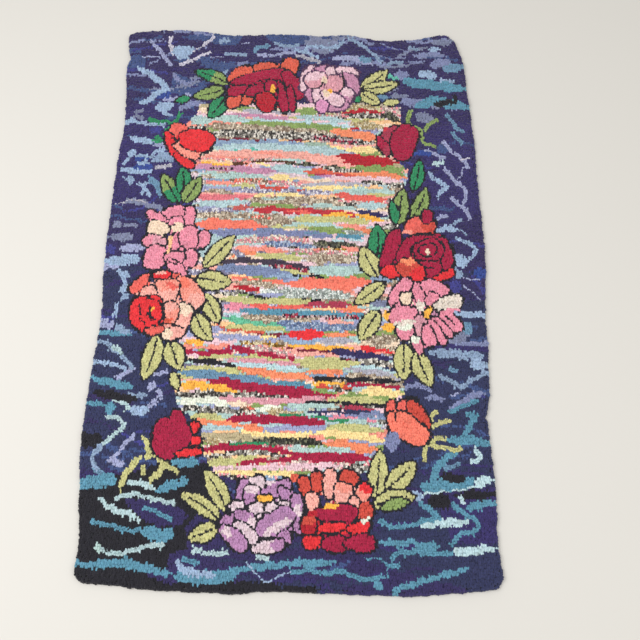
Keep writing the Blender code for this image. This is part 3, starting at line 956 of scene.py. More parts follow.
# A loop of another line, or of the fill, gives way to a line that passes nearer than this share of the
# loop gap.
LINE_ROOM = 0.72
FILL_ROOM = 0.66
# Where two areas meet, loops reach into the other by these multiples of the ragged size: a few of them
# far in the ground, whose streaks are feathered, and hardly at all in the stripes, which are whole rows.
FEATHERED_SHARE = 0.08
FEATHERED_REACH = 2.4
PLAIN_REACH = 0.5
GROUND_ACROSS = 0.4
STRIPE_REACH = (0.3, 0.22)

# Petals: points round one, its wobbles (how many round it, and their share of its size), how blunt it is
# and how much wider towards its tip. A tip of another yarn has its place and length as shares of the petal.
PETAL_POINTS = 30
PETAL_WOBBLES = ((3, 0.035), (5, 0.03))
PETAL_BLUNTNESS = 0.86
PETAL_FULL_TIP = 0.14
TIP_PLACE = 0.26
TIP_LENGTH = 0.42
# Leaves: points along one, where it is fullest, how blunt it is and how far it bows to a side as a share
# of its length. Leaves wider than VEINED_WIDTH have a vein of MIDVEIN, both in millimetres.
LEAF_POINTS = 15
LEAF_FULLEST = 0.88
LEAF_BLUNTNESS = 0.72
LEAF_BOW = 0.07
VEINED_WIDTH = 24
MIDVEIN = 4.4
# Petals and leaves are hooked so many times larger than they were drawn, and streaks and stems so many
# millimetres wider. The dark edge round a whole flower or leaf reaches out by DARK_EDGE, in millimetres.
PETAL_GROWTH = 1.06
LEAF_GROWTH = 1.10
STREAK_GROWTH = 2.5
STEM_GROWTH = 3.0
DARK_EDGE = 3.2
# A gap in a flower is closed where petals take up GAP_SHARE of the loops within GAP_REACH millimetres.
GAP_REACH = 15.0
GAP_SHARE = 0.60

# Streaks up to ROW_STREAK wide are hooked row by row, and wider ones are filled. Both have points this
# far apart and wander a little. A broad one has a least half width, and caps that are a share of its
# width. The outer rows of one with more points than SHORT_STREAK end ROW_CUT points sooner for each
# millimetre that they lie out. Lengths are in millimetres.
ROW_STREAK = 11.0
ROW_STEP = 2.0
BROAD_STEP = 4.0
WANDER = 1.2
WANDER_RATE = (0.12, 0.24)
STREAK_LEAST = 0.6
STREAK_CAP = 0.3
SHORT_STREAK = 14
ROW_CUT = 0.8
# Fine streaks at random: half their length and their width in millimetres, and their bow as a share of
# that half.
FINE_LENGTH = (24.0, 84.0)
FINE_BOW = 0.22
FINE_WIDTH = (4.0, 9.0)
# Stripes: points along one, how many thicknesses its ends take to taper and how blunt they are, then the
# waves of its edges in millimetres: their length, their size and the edges' least distance from its middle.
BAND_POINTS = 19
BAND_TAPER = 1.7
BAND_BLUNTNESS = 0.15
BAND_WAVES = (55.0, 95.0)
BAND_SWAY = 1.5
BAND_LEAST = 1.6
# Slips of pale yarn between the stripes, in millimetres: where a row of them starts and ends, a slip's
# thickness, length and sag, how much thicker than its row it is, and how far it laps over the next slip
# for each millimetre of thickness.
SLIP_START = (-330.0, -260.0)
SLIP_END = 280.0
SLIP_THICKNESS = (8.0, 13.0)
SLIP_LENGTH = (140.0, 380.0)
SLIP_SAG = 4.0
SLIP_LAP = 3.0
SLIP_END_LAP = 1.6

# How the loops stand: the spread of their headings in radians, of their lean along and across, of their
# height, and how much lower the drawn lines are, in millimetres.
TURN_SPREAD = 0.16
LEAN_SPREAD = (0.07, 0.20)
HEIGHT_SPREAD = 0.45
LINE_DEPTH = 0.4
# Rows at the rim. Columns: depth from the outline, how far out a loop leans for each unit up, foot height,
# length, and how far the longest lock of neighbouring loops stands past that length, as a share of it.
RIM_ROWS = (
    (4.4, 0.35, 2.2, 9.4, 0.10),
    (5.0, 1.1, 1.9, 8.4, 0.20),
    (4.6, 3.2, 2.2, 6.4, 0.26),
)
RIM_LEAN_SPREAD = 0.18
RIM_SIDE_SPREAD = 0.16
RIM_SHORTEST = -0.20
RIM_LENGTH_SPREAD = (0.92, 1.08)
# A lock holds from one to three loops.
LOCK_LOOPS = (1, 4)
# In millimetres: the height at which the solid is widest, and how far from it a point of that ring lies.
RIM_RING_HEIGHT = 4.2
RING_TOLERANCE = 0.3
# The rim's heading at a point is taken from so many points either way.
SIDE_REACH = 3

# How one loop differs from the next: its size as a factor, its points and the least height of one in
# millimetres, and its colour by channel and by lot of dye.
SIZE_SPREAD = (0.90, 1.12)
POINT_SPREAD = 0.16
LOWEST_POINT = 0.3
CHANNEL_SPREAD = 0.012
DYE_SPREAD = 0.05
# The bed: its squares in row gaps, its depth from the outline and its swell in millimetres, and the painted
# shade that darkens the loops' colours on it.
BED_SQUARE = 1.3
BED_INSET = 5.5
BED_SWELL = 0.4
BED_PAINTED_SHADE = 0.84

# What each column of a loop's row holds.
X, Y, HEADING, LEAN_X, LEAN_Y, FOOT, HEIGHT, LENGTH, WIDTH, YARN, PART = range(11)

# The stage, in metres.
FLOOR_SIDE = 40.0
# Columns: name, place, side of the square lamp, power in watts.
LIGHTS = (
    ("window_light", (-1.5, -0.4, 2.3), 1.6, 42.0),
    ("fill_light", (1.6, -1.0, 2.4), 2.0, 20.0),
)
ROOM_LIGHT = 0.72
ROOM_COLOUR = "#F2F1EE"
FLOOR_COLOUR = "#D9D6D0"
# The camera turns in degrees, and its sensor and lens are in millimetres.
CAMERA_PLACE = (0.061, -0.683, 1.579)
CAMERA_TURNS = (20.0, 0.0, -0.081)
CAMERA_SENSOR = 36.0
CAMERA_LENS = 42.02


def linear(hex_colour):
    """A colour in sRGB hex as linear red, green and blue."""
    shares = [int(hex_colour[i:i + 2], 16) / 255.0 for i in (1, 3, 5)]
    return tuple(c / 12.92 if c <= 0.04045 else ((c + 0.055) / 1.055) ** 2.4 for c in shares)


def yarn_property(name, colour):
    """A colour that a user can change, for one plain yarn."""
    words = name.replace("_", " ")
    return FloatVectorProperty(
        name=words.capitalize(),
        description="Colour of the " + words + " wool",
        subtype="COLOR",
        size=3,
        min=0.0,
        max=1.0,
        default=linear(colour),
    )


def length_property(name, description, millimetres):
    """A length that a user can change."""
    return FloatProperty(
        name=name,
        description=description,
        default=millimetres * MM,
        min=0.0,
        subtype="DISTANCE",
        unit="LENGTH",
    )


class YarnColours(bpy.types.PropertyGroup):
    """The colour of each plain yarn."""

    __annotations__ = {name: yarn_property(name, colour) for name, colour in YARNS.items()}


class PileSizes(bpy.types.PropertyGroup):
    """The sizes of the pile and of the cloth under it."""

    row_gap: length_property("Row gap", "From one row of loops to the next", 5.3)
    loop_gap: length_property("Loop gap", "From one loop to the next in a row", 3.9)
    loop_length: length_property("Loop length", "A loop's length along its row", 4.6)
    loop_width: length_property("Loop width", "A loop's width across its row", 7.4)
    line_width: length_property("Line width", "Width of a loop in a row that draws a line", 4.8)
    ragged: length_property("Ragged", "How far colours reach into each other where two areas meet", 1.3)
    pile_top: length_property("Pile top", "Height of the loops' crowns over the floor", 12.0)
    root: length_property("Root", "Height at which the loops leave the backing", 2.0)
    bed: length_property("Bed", "Height up to which the loops are packed together", 8.8)
    cloth: length_property("Backing", "Thickness of the backing cloth", 1.1)
    hem: length_property("Hem", "Width of the backing turned under at the edge", 28.0)
    swell: length_property("Swell", "How far the pile's top rises and falls", 0.7)
    shade_spread: FloatProperty(
        name="Shade spread",
        description="How much one loop's shade differs from the next in the same yarn",
        default=0.085,
        min=0.0,
        max=0.5,
        subtype="FACTOR",
    )


def sizes_in_mm():
    """The pile's sizes in millimetres, as a dictionary."""
    group = bpy.context.scene.rug_pile
    lengths = (
        "row_gap", "loop_gap", "loop_length", "loop_width", "line_width", "ragged", "pile_top", "root", "bed",
        "cloth", "hem", "swell",
    )
    return {name: getattr(group, name) / MM for name in lengths}


def waves(x, y, length, seed):
    """A smooth noise over the rug, from about -1 to 1, whose swells are about a length apart."""
    chance = np.random.default_rng(seed)
    total = np.zeros(len(x))
    for _ in range(WAVE_COUNT):
        turn = chance.uniform(0.0, 2.0 * math.pi)
        phase = chance.uniform(0.0, 2.0 * math.pi)
        stretch = chance.uniform(*WAVE_STRETCH) * 2.0 * math.pi / length
        total += np.sin((x * math.cos(turn) + y * math.sin(turn)) * stretch + phase)
    return total / (0.5 * WAVE_COUNT)


def inside(x, y, corners):
    """Which of the points lie within a closed outline."""
    odd = np.zeros(len(x), bool)
    for a, b in zip(corners, np.roll(corners, -1, axis=0)):
        crossed = (a[1] > y) != (b[1] > y)
        if crossed.any():
            odd ^= crossed & (x < a[0] + (b[0] - a[0]) * (y - a[1]) / (b[1] - a[1] + 1e-12))
    return odd


def closed(line):
    """A line with its first point again at its end."""
    return np.concatenate([line, line[:1]])


def turned_left(steps):
    """Steps turned to the left by a quarter turn."""
    return np.stack([-steps[:, 1], steps[:, 0]], 1)


def within_box(places, low, high):
    """The numbers of the places that lie in a box."""
    return np.flatnonzero(((places >= low) & (places <= high)).all(1))


def tree_over(rows):
    """A tree that finds the nearest of the places with which rows start."""
    tree = kdtree.KDTree(len(rows))
    for i, row in enumerate(rows):
        tree.insert((row[0], row[1], 0.0), i)
    tree.balance()
    return tree


def one_by_one(runs):
    """The rows of a chart in which leaves or petals of the same yarns share a row, each with its yarns."""
    return [(*place, yarn, tip_yarn) for yarn, tip_yarn, *places in runs for place in places]


def spaced(points, gap):
    """Points an even gap apart on a line through the given ones, and the line's heading at each."""
    points = np.asarray(points, float)
    steps = np.hypot(*np.diff(points, axis=0).T)
    passed = np.concatenate(([0.0], np.cumsum(steps)))
    count = max(2, int(round(passed[-1] / gap)) + 1)
    at = np.linspace(0.0, passed[-1], count)
    even = np.stack([np.interp(at, passed, points[:, k]) for k in (0, 1)], 1)
    along = np.gradient(even, axis=0)
    return even, np.arctan2(along[:, 1], along[:, 0])


def curve_through(points, steps=8):
    """A smooth curve through a few points, as many points."""
    points = np.asarray(points, float)
    if len(points) < 3:
        return points
    ends = np.concatenate(([2 * points[0] - points[1]], points, [2 * points[-1] - points[-2]]))
    made = []
    for a, b, c, d in zip(ends, ends[1:], ends[2:], ends[3:]):
        for t in np.arange(steps) / steps:
            made.append(0.5 * (2 * b + (c - a) * t + (2 * a - 5 * b + 4 * c - d) * t * t
                               + (3 * b - a - 3 * c + d) * t ** 3))
    return np.array(made + [points[-1]])


def rim_line():
    """The rug's outline in millimetres, in order and anticlockwise, from its solid's widest ring."""
    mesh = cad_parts[RUG].data
    corners = np.array([v.co for v in mesh.vertices]) / MM
    on_ring = abs(corners[:, 2] - RIM_RING_HEIGHT) < RING_TOLERANCE
    places = [tuple(place) for place in np.round(corners[:, :2], 2)]
    beside = {}
    for edge in mesh.edges:
        a, b = edge.vertices
        if on_ring[a] and on_ring[b] and places[a] != places[b]:
            beside.setdefault(places[a], set()).add(places[b])
            beside.setdefault(places[b], set()).add(places[a])
    line = [min(beside)]
    line.append(min(beside[line[0]]))
    while line[-1] != line[0]:
        line.append(next(place for place in beside[line[-1]] if place != line[-2]))
    line = np.array(line[:-1])
    after = np.roll(line, -1, axis=0)
    area = np.sum(line[:, 0] * after[:, 1] - line[:, 1] * after[:, 0])
    return line if area > 0 else line[::-1]


def eased(line, reach):
    """A closed line with each point moved to the middle of its neighbours, a few either way."""
    return sum(np.roll(line, k, axis=0) for k in range(-reach, reach + 1)) / (2 * reach + 1)


def drawn_in(line, depth):
    """A closed anticlockwise line moved inwards by a depth."""
    smooth = eased(line, SIDE_REACH)
    along = np.roll(smooth, -SIDE_REACH, axis=0) - np.roll(smooth, SIDE_REACH, axis=0)
    along /= np.hypot(*along.T)[:, None]
    return line + depth * turned_left(along)


def petal_outline(x, y, long, wide, heading, chance):
    """A petal, fuller towards its tip, with the small wobbles of a hand-drawn one."""
    turn = np.linspace(0.0, 2.0 * math.pi, PETAL_POINTS, endpoint=False)
    wobble = np.ones(PETAL_POINTS)
    for count, size in PETAL_WOBBLES:
        wobble += size * np.sin(count * turn + chance.uniform(0, PHASES))
    cosine = np.sign(np.cos(turn)) * abs(np.cos(turn)) ** PETAL_BLUNTNESS
    sine = np.sign(np.sin(turn)) * abs(np.sin(turn)) ** PETAL_BLUNTNESS
    along = 0.5 * long * cosine * wobble
    across = 0.5 * wide * sine * (1.0 + PETAL_FULL_TIP * cosine) * wobble
    angle = math.radians(heading)
    return np.stack([
        x + along * math.cos(angle) - across * math.sin(angle),
        y + along * math.sin(angle) + across * math.cos(angle),
    ], 1)


def leaf_middle(x0, y0, x1, y1, bow):
    """A leaf's midvein, from foot to tip, bowed a little to one side."""
    share = np.linspace(0.0, 1.0, LEAF_POINTS)[:, None]
    foot = np.array([x0, y0], float)
    tip = np.array([x1, y1], float)
    side = np.array([foot[1] - tip[1], tip[0] - foot[0]])
    return foot + (tip - foot) * share + side * bow * np.sin(math.pi * share)


def leaf_outline(middle, width):
    """A pointed leaf round its midvein."""
    share = np.linspace(0.0, 1.0, len(middle))
    half = 0.5 * width * np.sin(math.pi * share ** LEAF_FULLEST) ** LEAF_BLUNTNESS
    half[0] = half[-1] = 0.0
    along = np.gradient(middle, axis=0)
    along /= np.hypot(*along.T)[:, None]
    side = turned_left(along) * half[:, None]
    return np.concatenate([middle + side, (middle - side)[::-1][1:-1]])


def band_outline(left, right, y_left, y_middle, y_right, thickness, chance):
    """A stripe with tapered ends, whose edges wander as the hooked rows do."""
    share = np.linspace(0.0, 1.0, BAND_POINTS)
    x = left + (right - left) * share
    y = y_left * (1 - share) * (1 - 2 * share) + y_right * share * (2 * share - 1)
    y += 4 * y_middle * share * (1 - share)
    ends = np.minimum(share, 1.0 - share) * (right - left) / (BAND_TAPER * thickness)
    taper = np.minimum(1.0, ends + BAND_BLUNTNESS)
    length = chance.uniform(*BAND_WAVES)
    above, below = (
        0.5 * thickness * taper + BAND_SWAY * np.sin(x * WHOLE_TURN / length + chance.uniform(0, PHASES))
        for _ in range(2)
    )
    upper = np.stack([x, y + np.maximum(above, BAND_LEAST)], 1)
    lower = np.stack([x, y - np.maximum(below, BAND_LEAST)], 1)
    return np.concatenate([lower, upper[::-1]])


def wandering(points, gap, chance):
    """A line of evenly spaced points through the given ones that wanders a little, and its headings."""
    middle, headings = spaced(curve_through(points), gap)
    steps = np.arange(len(middle)) * gap
    swing = np.sin(steps * chance.uniform(*WANDER_RATE) + chance.uniform(0, PHASES))
    side = np.stack([-np.sin(headings), np.cos(headings)], 1)
    return middle + WANDER * swing[:, None] * side, headings


def streak_outline(points, width, chance):
    """A broad streak of yarn that wanders a little, with rounded, narrowing ends."""
    middle, _ = wandering(points, BROAD_STEP, chance)
    share = np.linspace(-1.0, 1.0, len(middle))
    half = 0.5 * width * (1.0 - abs(share) ** 3.0) ** 0.5 + STREAK_LEAST
    along = np.gradient(middle, axis=0)
    along /= np.hypot(*along.T)[:, None] + 1e-9
    side = turned_left(along) * half[:, None]
    cap = along[0] * STREAK_CAP * width
    tip = along[-1] * STREAK_CAP * width
    return np.concatenate([[middle[0] - cap], middle - side, [middle[-1] + tip], (middle + side)[::-1]])


class Hooking:
    """The rug while it is hooked: rows of loops that fill it, and single rows that draw lines."""

    def __init__(self, rim, sizes):
        self.chance = np.random.default_rng(HOOKING_SEED)
        self.rim = rim
        self.row_gap = sizes["row_gap"]
        self.loop_gap = sizes["loop_gap"]
        low = rim.min(0) - self.row_gap
        high = rim.max(0) + self.row_gap
        rows = np.arange(low[1], high[1], self.row_gap)
        places = np.arange(low[0], high[0], self.loop_gap)
        x, y = np.meshgrid(places, rows)
        x = x + self.chance.uniform(0.0, self.loop_gap, len(rows))[:, None]
        x = x.ravel() + self.chance.normal(0.0, LOOP_SCATTER * self.loop_gap, x.size)
        y = y.ravel() + self.chance.normal(0.0, ROW_SCATTER * self.row_gap, y.size)
        y = y + ROW_SWAY * waves(x, y, *ROW_WAVES)
        kept = inside(x, y, drawn_in(rim, FILL_INSET * self.row_gap))
        self.x = x[kept]
        self.y = y[kept]
        reach = sizes["ragged"] * self.chance.normal(0.0, 1.0, (2, len(self.x)))
        feathered = self.chance.random(len(self.x)) < FEATHERED_SHARE
        reach_out = np.where(feathered, FEATHERED_REACH, PLAIN_REACH)
        self.reached = {
            GROUND: (self.x + GROUND_ACROSS * reach_out * reach[0], self.y + reach_out * reach[1]),
            STRIPES: (self.x + STRIPE_REACH[0] * reach[0], self.y + STRIPE_REACH[1] * reach[1]),
        }
        self.yarn = np.full(len(self.x), YARN_NAMES.index("purple"))
        self.part = np.full(len(self.x), GROUND)
        # The loops of the drawn lines. Columns: x, y, heading, yarn, part.
        self.lines = np.zeros((0, 5))

    def within(self, corners, part):
        """The loops within an outline, whose edge is ragged but for the leaves and the flowers."""
        x, y = self.reached.get(part, (self.x, self.y))
        low = corners.min(0)
        high = corners.max(0)
        near = np.flatnonzero((x >= low[0]) & (x <= high[0]) & (y >= low[1]) & (y <= high[1]))
        return near[inside(x[near], y[near], corners)]

    def fill(self, corners, yarn, part, only=None):
        """Hooks the loops within an outline in one yarn, over what was there or over one part alone."""
        corners = np.asarray(corners, float)
        chosen = self.within(corners, part)
        if only is not None:
            chosen = chosen[self.part[chosen] == only]
        self.yarn[chosen] = YARN_NAMES.index(yarn)
        self.part[chosen] = part
        covered = inside(self.lines[:, 0], self.lines[:, 1], corners)
        if only is not None:
            covered &= self.lines[:, -1] == only
        self.lines = self.lines[~covered]

    def line(self, points, yarn, part):
        """Hooks one row along a line, in place of what crowds it."""
        even, headings = spaced(points, self.loop_gap)
        if len(self.lines):
            tree = tree_over(even)
            near = within_box(self.lines[:, :2], even.min(0) - self.loop_gap, even.max(0) + self.loop_gap)
            room = LINE_ROOM * self.loop_gap
            crowded = [i for i in near if tree.find((*self.lines[i, :2], 0.0))[2] < room]
            self.lines = np.delete(self.lines, crowded, axis=0)
        kind = np.full((len(even), 2), (YARN_NAMES.index(yarn), part))
        self.lines = np.concatenate([self.lines, np.column_stack([even, headings, kind])])

    def streak(self, points, yarn, width, part):
        """Hooks a streak: rows side by side along it, or a filled outline where it is broad.

        What lies under several rows is hooked in their yarn first, so that nothing else shows between.
        """
        if width > ROW_STREAK:
            self.fill(streak_outline(points, width, self.chance), yarn, part)
            return
        middle, headings = wandering(points, ROW_STEP, self.chance)
        count = max(1, int(round(width / self.row_gap)))
        side = np.stack([-np.sin(headings), np.cos(headings)], 1)
        if count > 1:
            reach = side * 0.5 * count * self.row_gap
            self.fill(np.concatenate([middle + reach, (middle - reach)[::-1]]), yarn, part)
        for k in range(count):
            offset = (k - 0.5 * (count - 1)) * self.row_gap
            cut = int(abs(offset) * ROW_CUT) if len(middle) > SHORT_STREAK else 0
            self.line((middle + side * offset)[cut:len(middle) - cut], yarn, part)

    def shape(self, corners, yarn, part, line_yarn="black"):
        """Hooks a shape in one yarn and draws a dark row round it."""
        self.fill(corners, yarn, part)
        self.line(closed(corners), line_yarn, part)


def hook_ground(rug):
    """The dark marbled ground: its fields, the fine streaks, the fields over them and the broad streaks."""
    for yarn, *corners in GROUND_FIELDS:
        rug.fill(corners, yarn, GROUND)
    left, right = rug.rim[:, 0].min(), rug.rim[:, 0].max()
    for low, high, count, tilt, yarns in MARBLING:
        for _ in range(count):
            x = rug.chance.uniform(left, right)
            y = rug.chance.uniform(low, high)
            long = rug.chance.uniform(*FINE_LENGTH)
            turn = math.radians(rug.chance.normal(0.0, tilt))
            bow = rug.chance.uniform(-FINE_BOW, FINE_BOW) * long
            along = np.array([math.cos(turn), math.sin(turn)])
            side = np.array([-along[1], along[0]])
            middle = np.array([x, y])
            places = (middle - along * long, middle + side * bow, middle + along * long)
            streak = streak_outline(places, rug.chance.uniform(*FINE_WIDTH), rug.chance)
            rug.fill(streak, rug.chance.choice(yarns), GROUND)
    for yarn, *corners in DARK_FIELDS:
        rug.fill(corners, yarn, GROUND)
    for yarn, width, *places in STREAKS:
        rug.streak(places, yarn, width + STREAK_GROWTH, GROUND)


def hook_stripes(rug):
    """The striped middle, hit or miss: slips of pale yarns, then the stronger bands over them."""
    rug.fill(STRIPED_FIELD, "oat_tweed", STRIPES)
    y, high = (edge(rug.y[rug.part == STRIPES]) for edge in (np.min, np.max))
    while y < high:
        x = rug.chance.uniform(*SLIP_START)
        thick = rug.chance.uniform(*SLIP_THICKNESS)
        while x < SLIP_END:
            long = rug.chance.uniform(*SLIP_LENGTH)
            sag = rug.chance.uniform(-SLIP_SAG, SLIP_SAG)
            slip = band_outline(x, x + long, y, y + sag, y, thick + SLIP_LAP, rug.chance)
            rug.fill(slip, rug.chance.choice(SLIP_YARNS), STRIPES, only=STRIPES)
            x += long - SLIP_END_LAP * thick
        y += thick
    for *places, thickness, yarn in BANDS:
        rug.fill(band_outline(*places, thickness, rug.chance), yarn, STRIPES, only=STRIPES)


def hook_leaves(rug):
    """The stems, and the leaves, each with a dark edge and the wider ones with a midvein."""
    for yarn, width, *places in STEMS:
        rug.streak(places, yarn, width + STEM_GROWTH, LEAVES)
    for x0, y0, x1, y1, width, yarn, tip_yarn in one_by_one(LEAF_RUNS):
        middle = leaf_middle(x0, y0, x1, y1, rug.chance.uniform(-LEAF_BOW, LEAF_BOW))
        outline = leaf_outline(middle, width * LEAF_GROWTH)
        rug.fill(leaf_outline(middle, width * LEAF_GROWTH + 2 * DARK_EDGE), "black", LEAVES)
        rug.shape(outline, yarn, LEAVES)
        if tip_yarn != yarn:
            half = len(middle) // 2
            outer = np.concatenate([outline[half:len(middle)], outline[len(middle):len(outline) - half + 1]])
            rug.fill(outer, tip_yarn, LEAVES)
            rug.line(closed(outline), "black", LEAVES)
        if width > VEINED_WIDTH:
            rug.fill(leaf_outline(middle[1:-3], MIDVEIN), "black", LEAVES)
            rug.line(middle[1:-3], "black", LEAVES)


def close_gaps(rug, drawn):
    """Hooks the gaps between a flower's petals in the yarn of the nearest petal."""
    places = np.stack([rug.x, rug.y], 1)
    near = within_box(places, places[drawn].min(0) - GAP_REACH, places[drawn].max(0) + GAP_REACH)
    petal = np.isin(near, drawn)
    away = np.hypot(*(places[near][:, None] - places[near][None]).transpose(2, 0, 1))
    close = away < GAP_REACH
    share = (close & petal[None]).sum(1) / close.sum(1)
    gaps = np.flatnonzero(~petal & (share > GAP_SHARE))
    nearest = np.flatnonzero(petal)[away[gaps][:, petal].argmin(1)] if len(gaps) else gaps
    rug.yarn[near[gaps]] = rug.yarn[near[nearest]]
    rug.part[near[gaps]] = FLOWERS


def hook_flowers(rug):
    """The flowers and buds: dark-edged petals with their tips, then spots and curls."""
    for flower, runs in PETALS.items():
        line_yarn = LINE_YARNS.get(flower, "black")
        petals = one_by_one(runs)
        for x, y, long, wide, heading, *_ in petals:
            long = long * PETAL_GROWTH + 2 * DARK_EDGE
            wide = wide * PETAL_GROWTH + 2 * DARK_EDGE
            rug.fill(petal_outline(x, y, long, wide, heading, rug.chance), line_yarn, FLOWERS)
        drawn = []
        for x, y, long, wide, heading, yarn, tip_yarn in petals:
            long = long * PETAL_GROWTH
            wide = wide * PETAL_GROWTH
            outline = petal_outline(x, y, long, wide, heading, rug.chance)
            rug.shape(outline, yarn, FLOWERS, line_yarn)
            drawn.append(rug.within(outline, FLOWERS))
            if tip_yarn != yarn:
                reach = TIP_PLACE * long
                tip_x = x + reach * math.cos(math.radians(heading))
                tip_y = y + reach * math.sin(math.radians(heading))
                tip_wide = wide - rug.row_gap
                tip = petal_outline(tip_x, tip_y, TIP_LENGTH * long, tip_wide, heading, rug.chance)
                rug.fill(tip, tip_yarn, FLOWERS)
                rug.line(closed(outline), line_yarn, FLOWERS)
        close_gaps(rug, np.unique(np.concatenate(drawn)))
    for x, y, long, wide, heading, yarn in SPOTS:
        rug.fill(petal_outline(x, y, long, wide, heading, rug.chance), yarn, FLOWERS)
    for places in CURLS:
        rug.line(curve_through(places), "black", FLOWERS)


@functools.lru_cache(maxsize=1)
def hooked_loops(sizes_key):
    """Every loop of the rug, a row for each."""
    sizes = dict(sizes_key)
    rim = eased(rim_line(), 1)
    rug = Hooking(rim, sizes)
    hook_ground(rug)
    hook_stripes(rug)
    hook_leaves(rug)
    hook_flowers(rug)
    tree = tree_over(rug.lines)
    room = FILL_ROOM * rug.loop_gap
    free = np.array([tree.find((x, y, 0.0))[2] > room for x, y in zip(rug.x, rug.y)])
    count = int(free.sum())
    headings = rug.chance.normal(0.0, TURN_SPREAD, count)
    fill = np.column_stack([rug.x[free], rug.y[free], headings, rug.yarn[free], rug.part[free]])
    lines_rim = drawn_in(rim, LINE_INSET * rug.row_gap)
    flat = np.concatenate([fill, rug.lines[inside(rug.lines[:, 0], rug.lines[:, 1], lines_rim)]])
    lean = rug.chance.normal(0.0, LEAN_SPREAD, (len(flat), 2))
    tall = sizes["pile_top"] - sizes["root"] + rug.chance.normal(0.0, HEIGHT_SPREAD, len(flat))
    tall += sizes["swell"] * waves(flat[:, 0], flat[:, 1], *PILE_WAVES)
    tall[count:] -= LINE_DEPTH
    width = np.where(np.arange(len(flat)) < count, sizes["loop_width"], sizes["line_width"])
    upright = np.column_stack([
        flat[:, :3], lean, np.full(len(flat), sizes["root"]), tall,
        np.full(len(flat), sizes["loop_length"]), width, flat[:, 3:],
    ])
    return np.concatenate([upright, *rim_rows(rug, rim, flat, sizes)])


def rim_rows(rug, rim, flat, sizes):
    """Rows of loops that lean out over the rug's edge, down to the floor, in the ground's own yarns."""
    tree = tree_over(flat)
    for depth, lean_out, foot, length, lock in RIM_ROWS:
        even, headings = spaced(closed(drawn_in(rim, depth)), sizes["loop_gap"])
        even = even[:-1]
        headings = headings[:-1]
        near = [tree.find((*place, 0.0))[1] for place in even]
        count = len(even)
        out = lean_out + rug.chance.normal(0.0, RIM_LEAN_SPREAD * lean_out, count)
        sideways = rug.chance.normal(0.0, RIM_SIDE_SPREAD, count)
        lean_x = np.sin(headings) * out + np.cos(headings) * sideways
        lean_y = -np.cos(headings) * out + np.sin(headings) * sideways
        locks = rug.chance.uniform(RIM_SHORTEST, lock, count)
        locks = np.repeat(locks, rug.chance.integers(*LOCK_LOOPS, count))[:count]
        lengths = length * (1.0 + locks) * rug.chance.uniform(*RIM_LENGTH_SPREAD, count)
        yield np.column_stack([
            even, headings, lean_x, lean_y, np.full(count, foot), lengths,
            np.full(count, sizes["loop_length"]), np.full(count, sizes["line_width"]), flat[near, 3:],
        ])


def yarn_shades():
    """Each yarn's colours, three for a tweed and three times the one for a plain yarn."""
    colours = bpy.context.scene.rug_yarns
    plain = [[tuple(getattr(colours, name))] * 3 for name in YARNS]
    mixed = [[linear(strand) for strand in strands] for strands in TWEEDS.values()]
    return np.array(plain + mixed)


def link(name, mesh, *materials):
    """Puts a new mesh into the scene as a piece that rides with the rug."""
    for material in materials:
        mesh.materials.append(material)
    piece = bpy.data.objects.new(name, mesh)
    bpy.context.scene.collection.objects.link(piece)
    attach(piece, BODY)
    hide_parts(RUG)
    return piece


def fill_mesh(name, points, faces, smooth=True):
    """A mesh from arrays: points in metres, and faces as groups of equal numbers of corners."""
    mesh = bpy.data.meshes.new(name)
    corners = np.concatenate([group.ravel() for group in faces])
    totals = np.concatenate([np.full(len(group), group.shape[1]) for group in faces])
    starts = np.concatenate(([0], np.cumsum(totals)[:-1]))
    mesh.vertices.add(len(points))
    mesh.vertices.foreach_set("co", np.ascontiguousarray(points, np.float32).ravel())
    mesh.loops.add(len(corners))
    mesh.loops.foreach_set("vertex_index", corners.astype(np.int32))
    mesh.polygons.add(len(totals))
    mesh.polygons.foreach_set("loop_start", starts.astype(np.int32))
    mesh.update(calc_edges=True)
    mesh.validate()
    if smooth:
        mesh.shade_smooth()
    return mesh


def colour_points(mesh, colours):
    """Gives a mesh's points their colours, the yarns' own with painted shade in them, which the materials
    read.
    """
    layer = mesh.color_attributes.new("yarn", "FLOAT_COLOR", "POINT")
    four = np.ones((len(colours), 4), np.float32)
    four[:, :3] = colours
    layer.data.foreach_set("color", four.ravel())


def map_loops(mesh, count):
    """Lays the loops out in the bake map, a cell for each, so that none overlap."""
    per_side = math.ceil(math.sqrt(count))
    sides = ((0, 1), (1, 2), (2, 3), (3, 0))
    patterns = [
        STRIP,
        *[(SQUARE[a], SQUARE[b], SHOULDER[b], SHOULDER[a]) for a, b in sides],
        *[(SHOULDER[a], SHOULDER[b], CROWN) for a, b in sides],
    ]
    cell = np.arange(count)
    corner = np.stack([cell % per_side, cell // per_side], 1)[:, None, :]
    groups = []
    for size in FACE_SIZES:
        pattern = np.array([place for face in patterns if len(face) == size for place in face])
        groups.append(((corner + pattern[None]) / per_side).reshape(-1, 2))
    layer = mesh.uv_layers.new(name="OFBake")
    layer.data.foreach_set("uv", np.concatenate(groups).astype(np.float32).ravel())


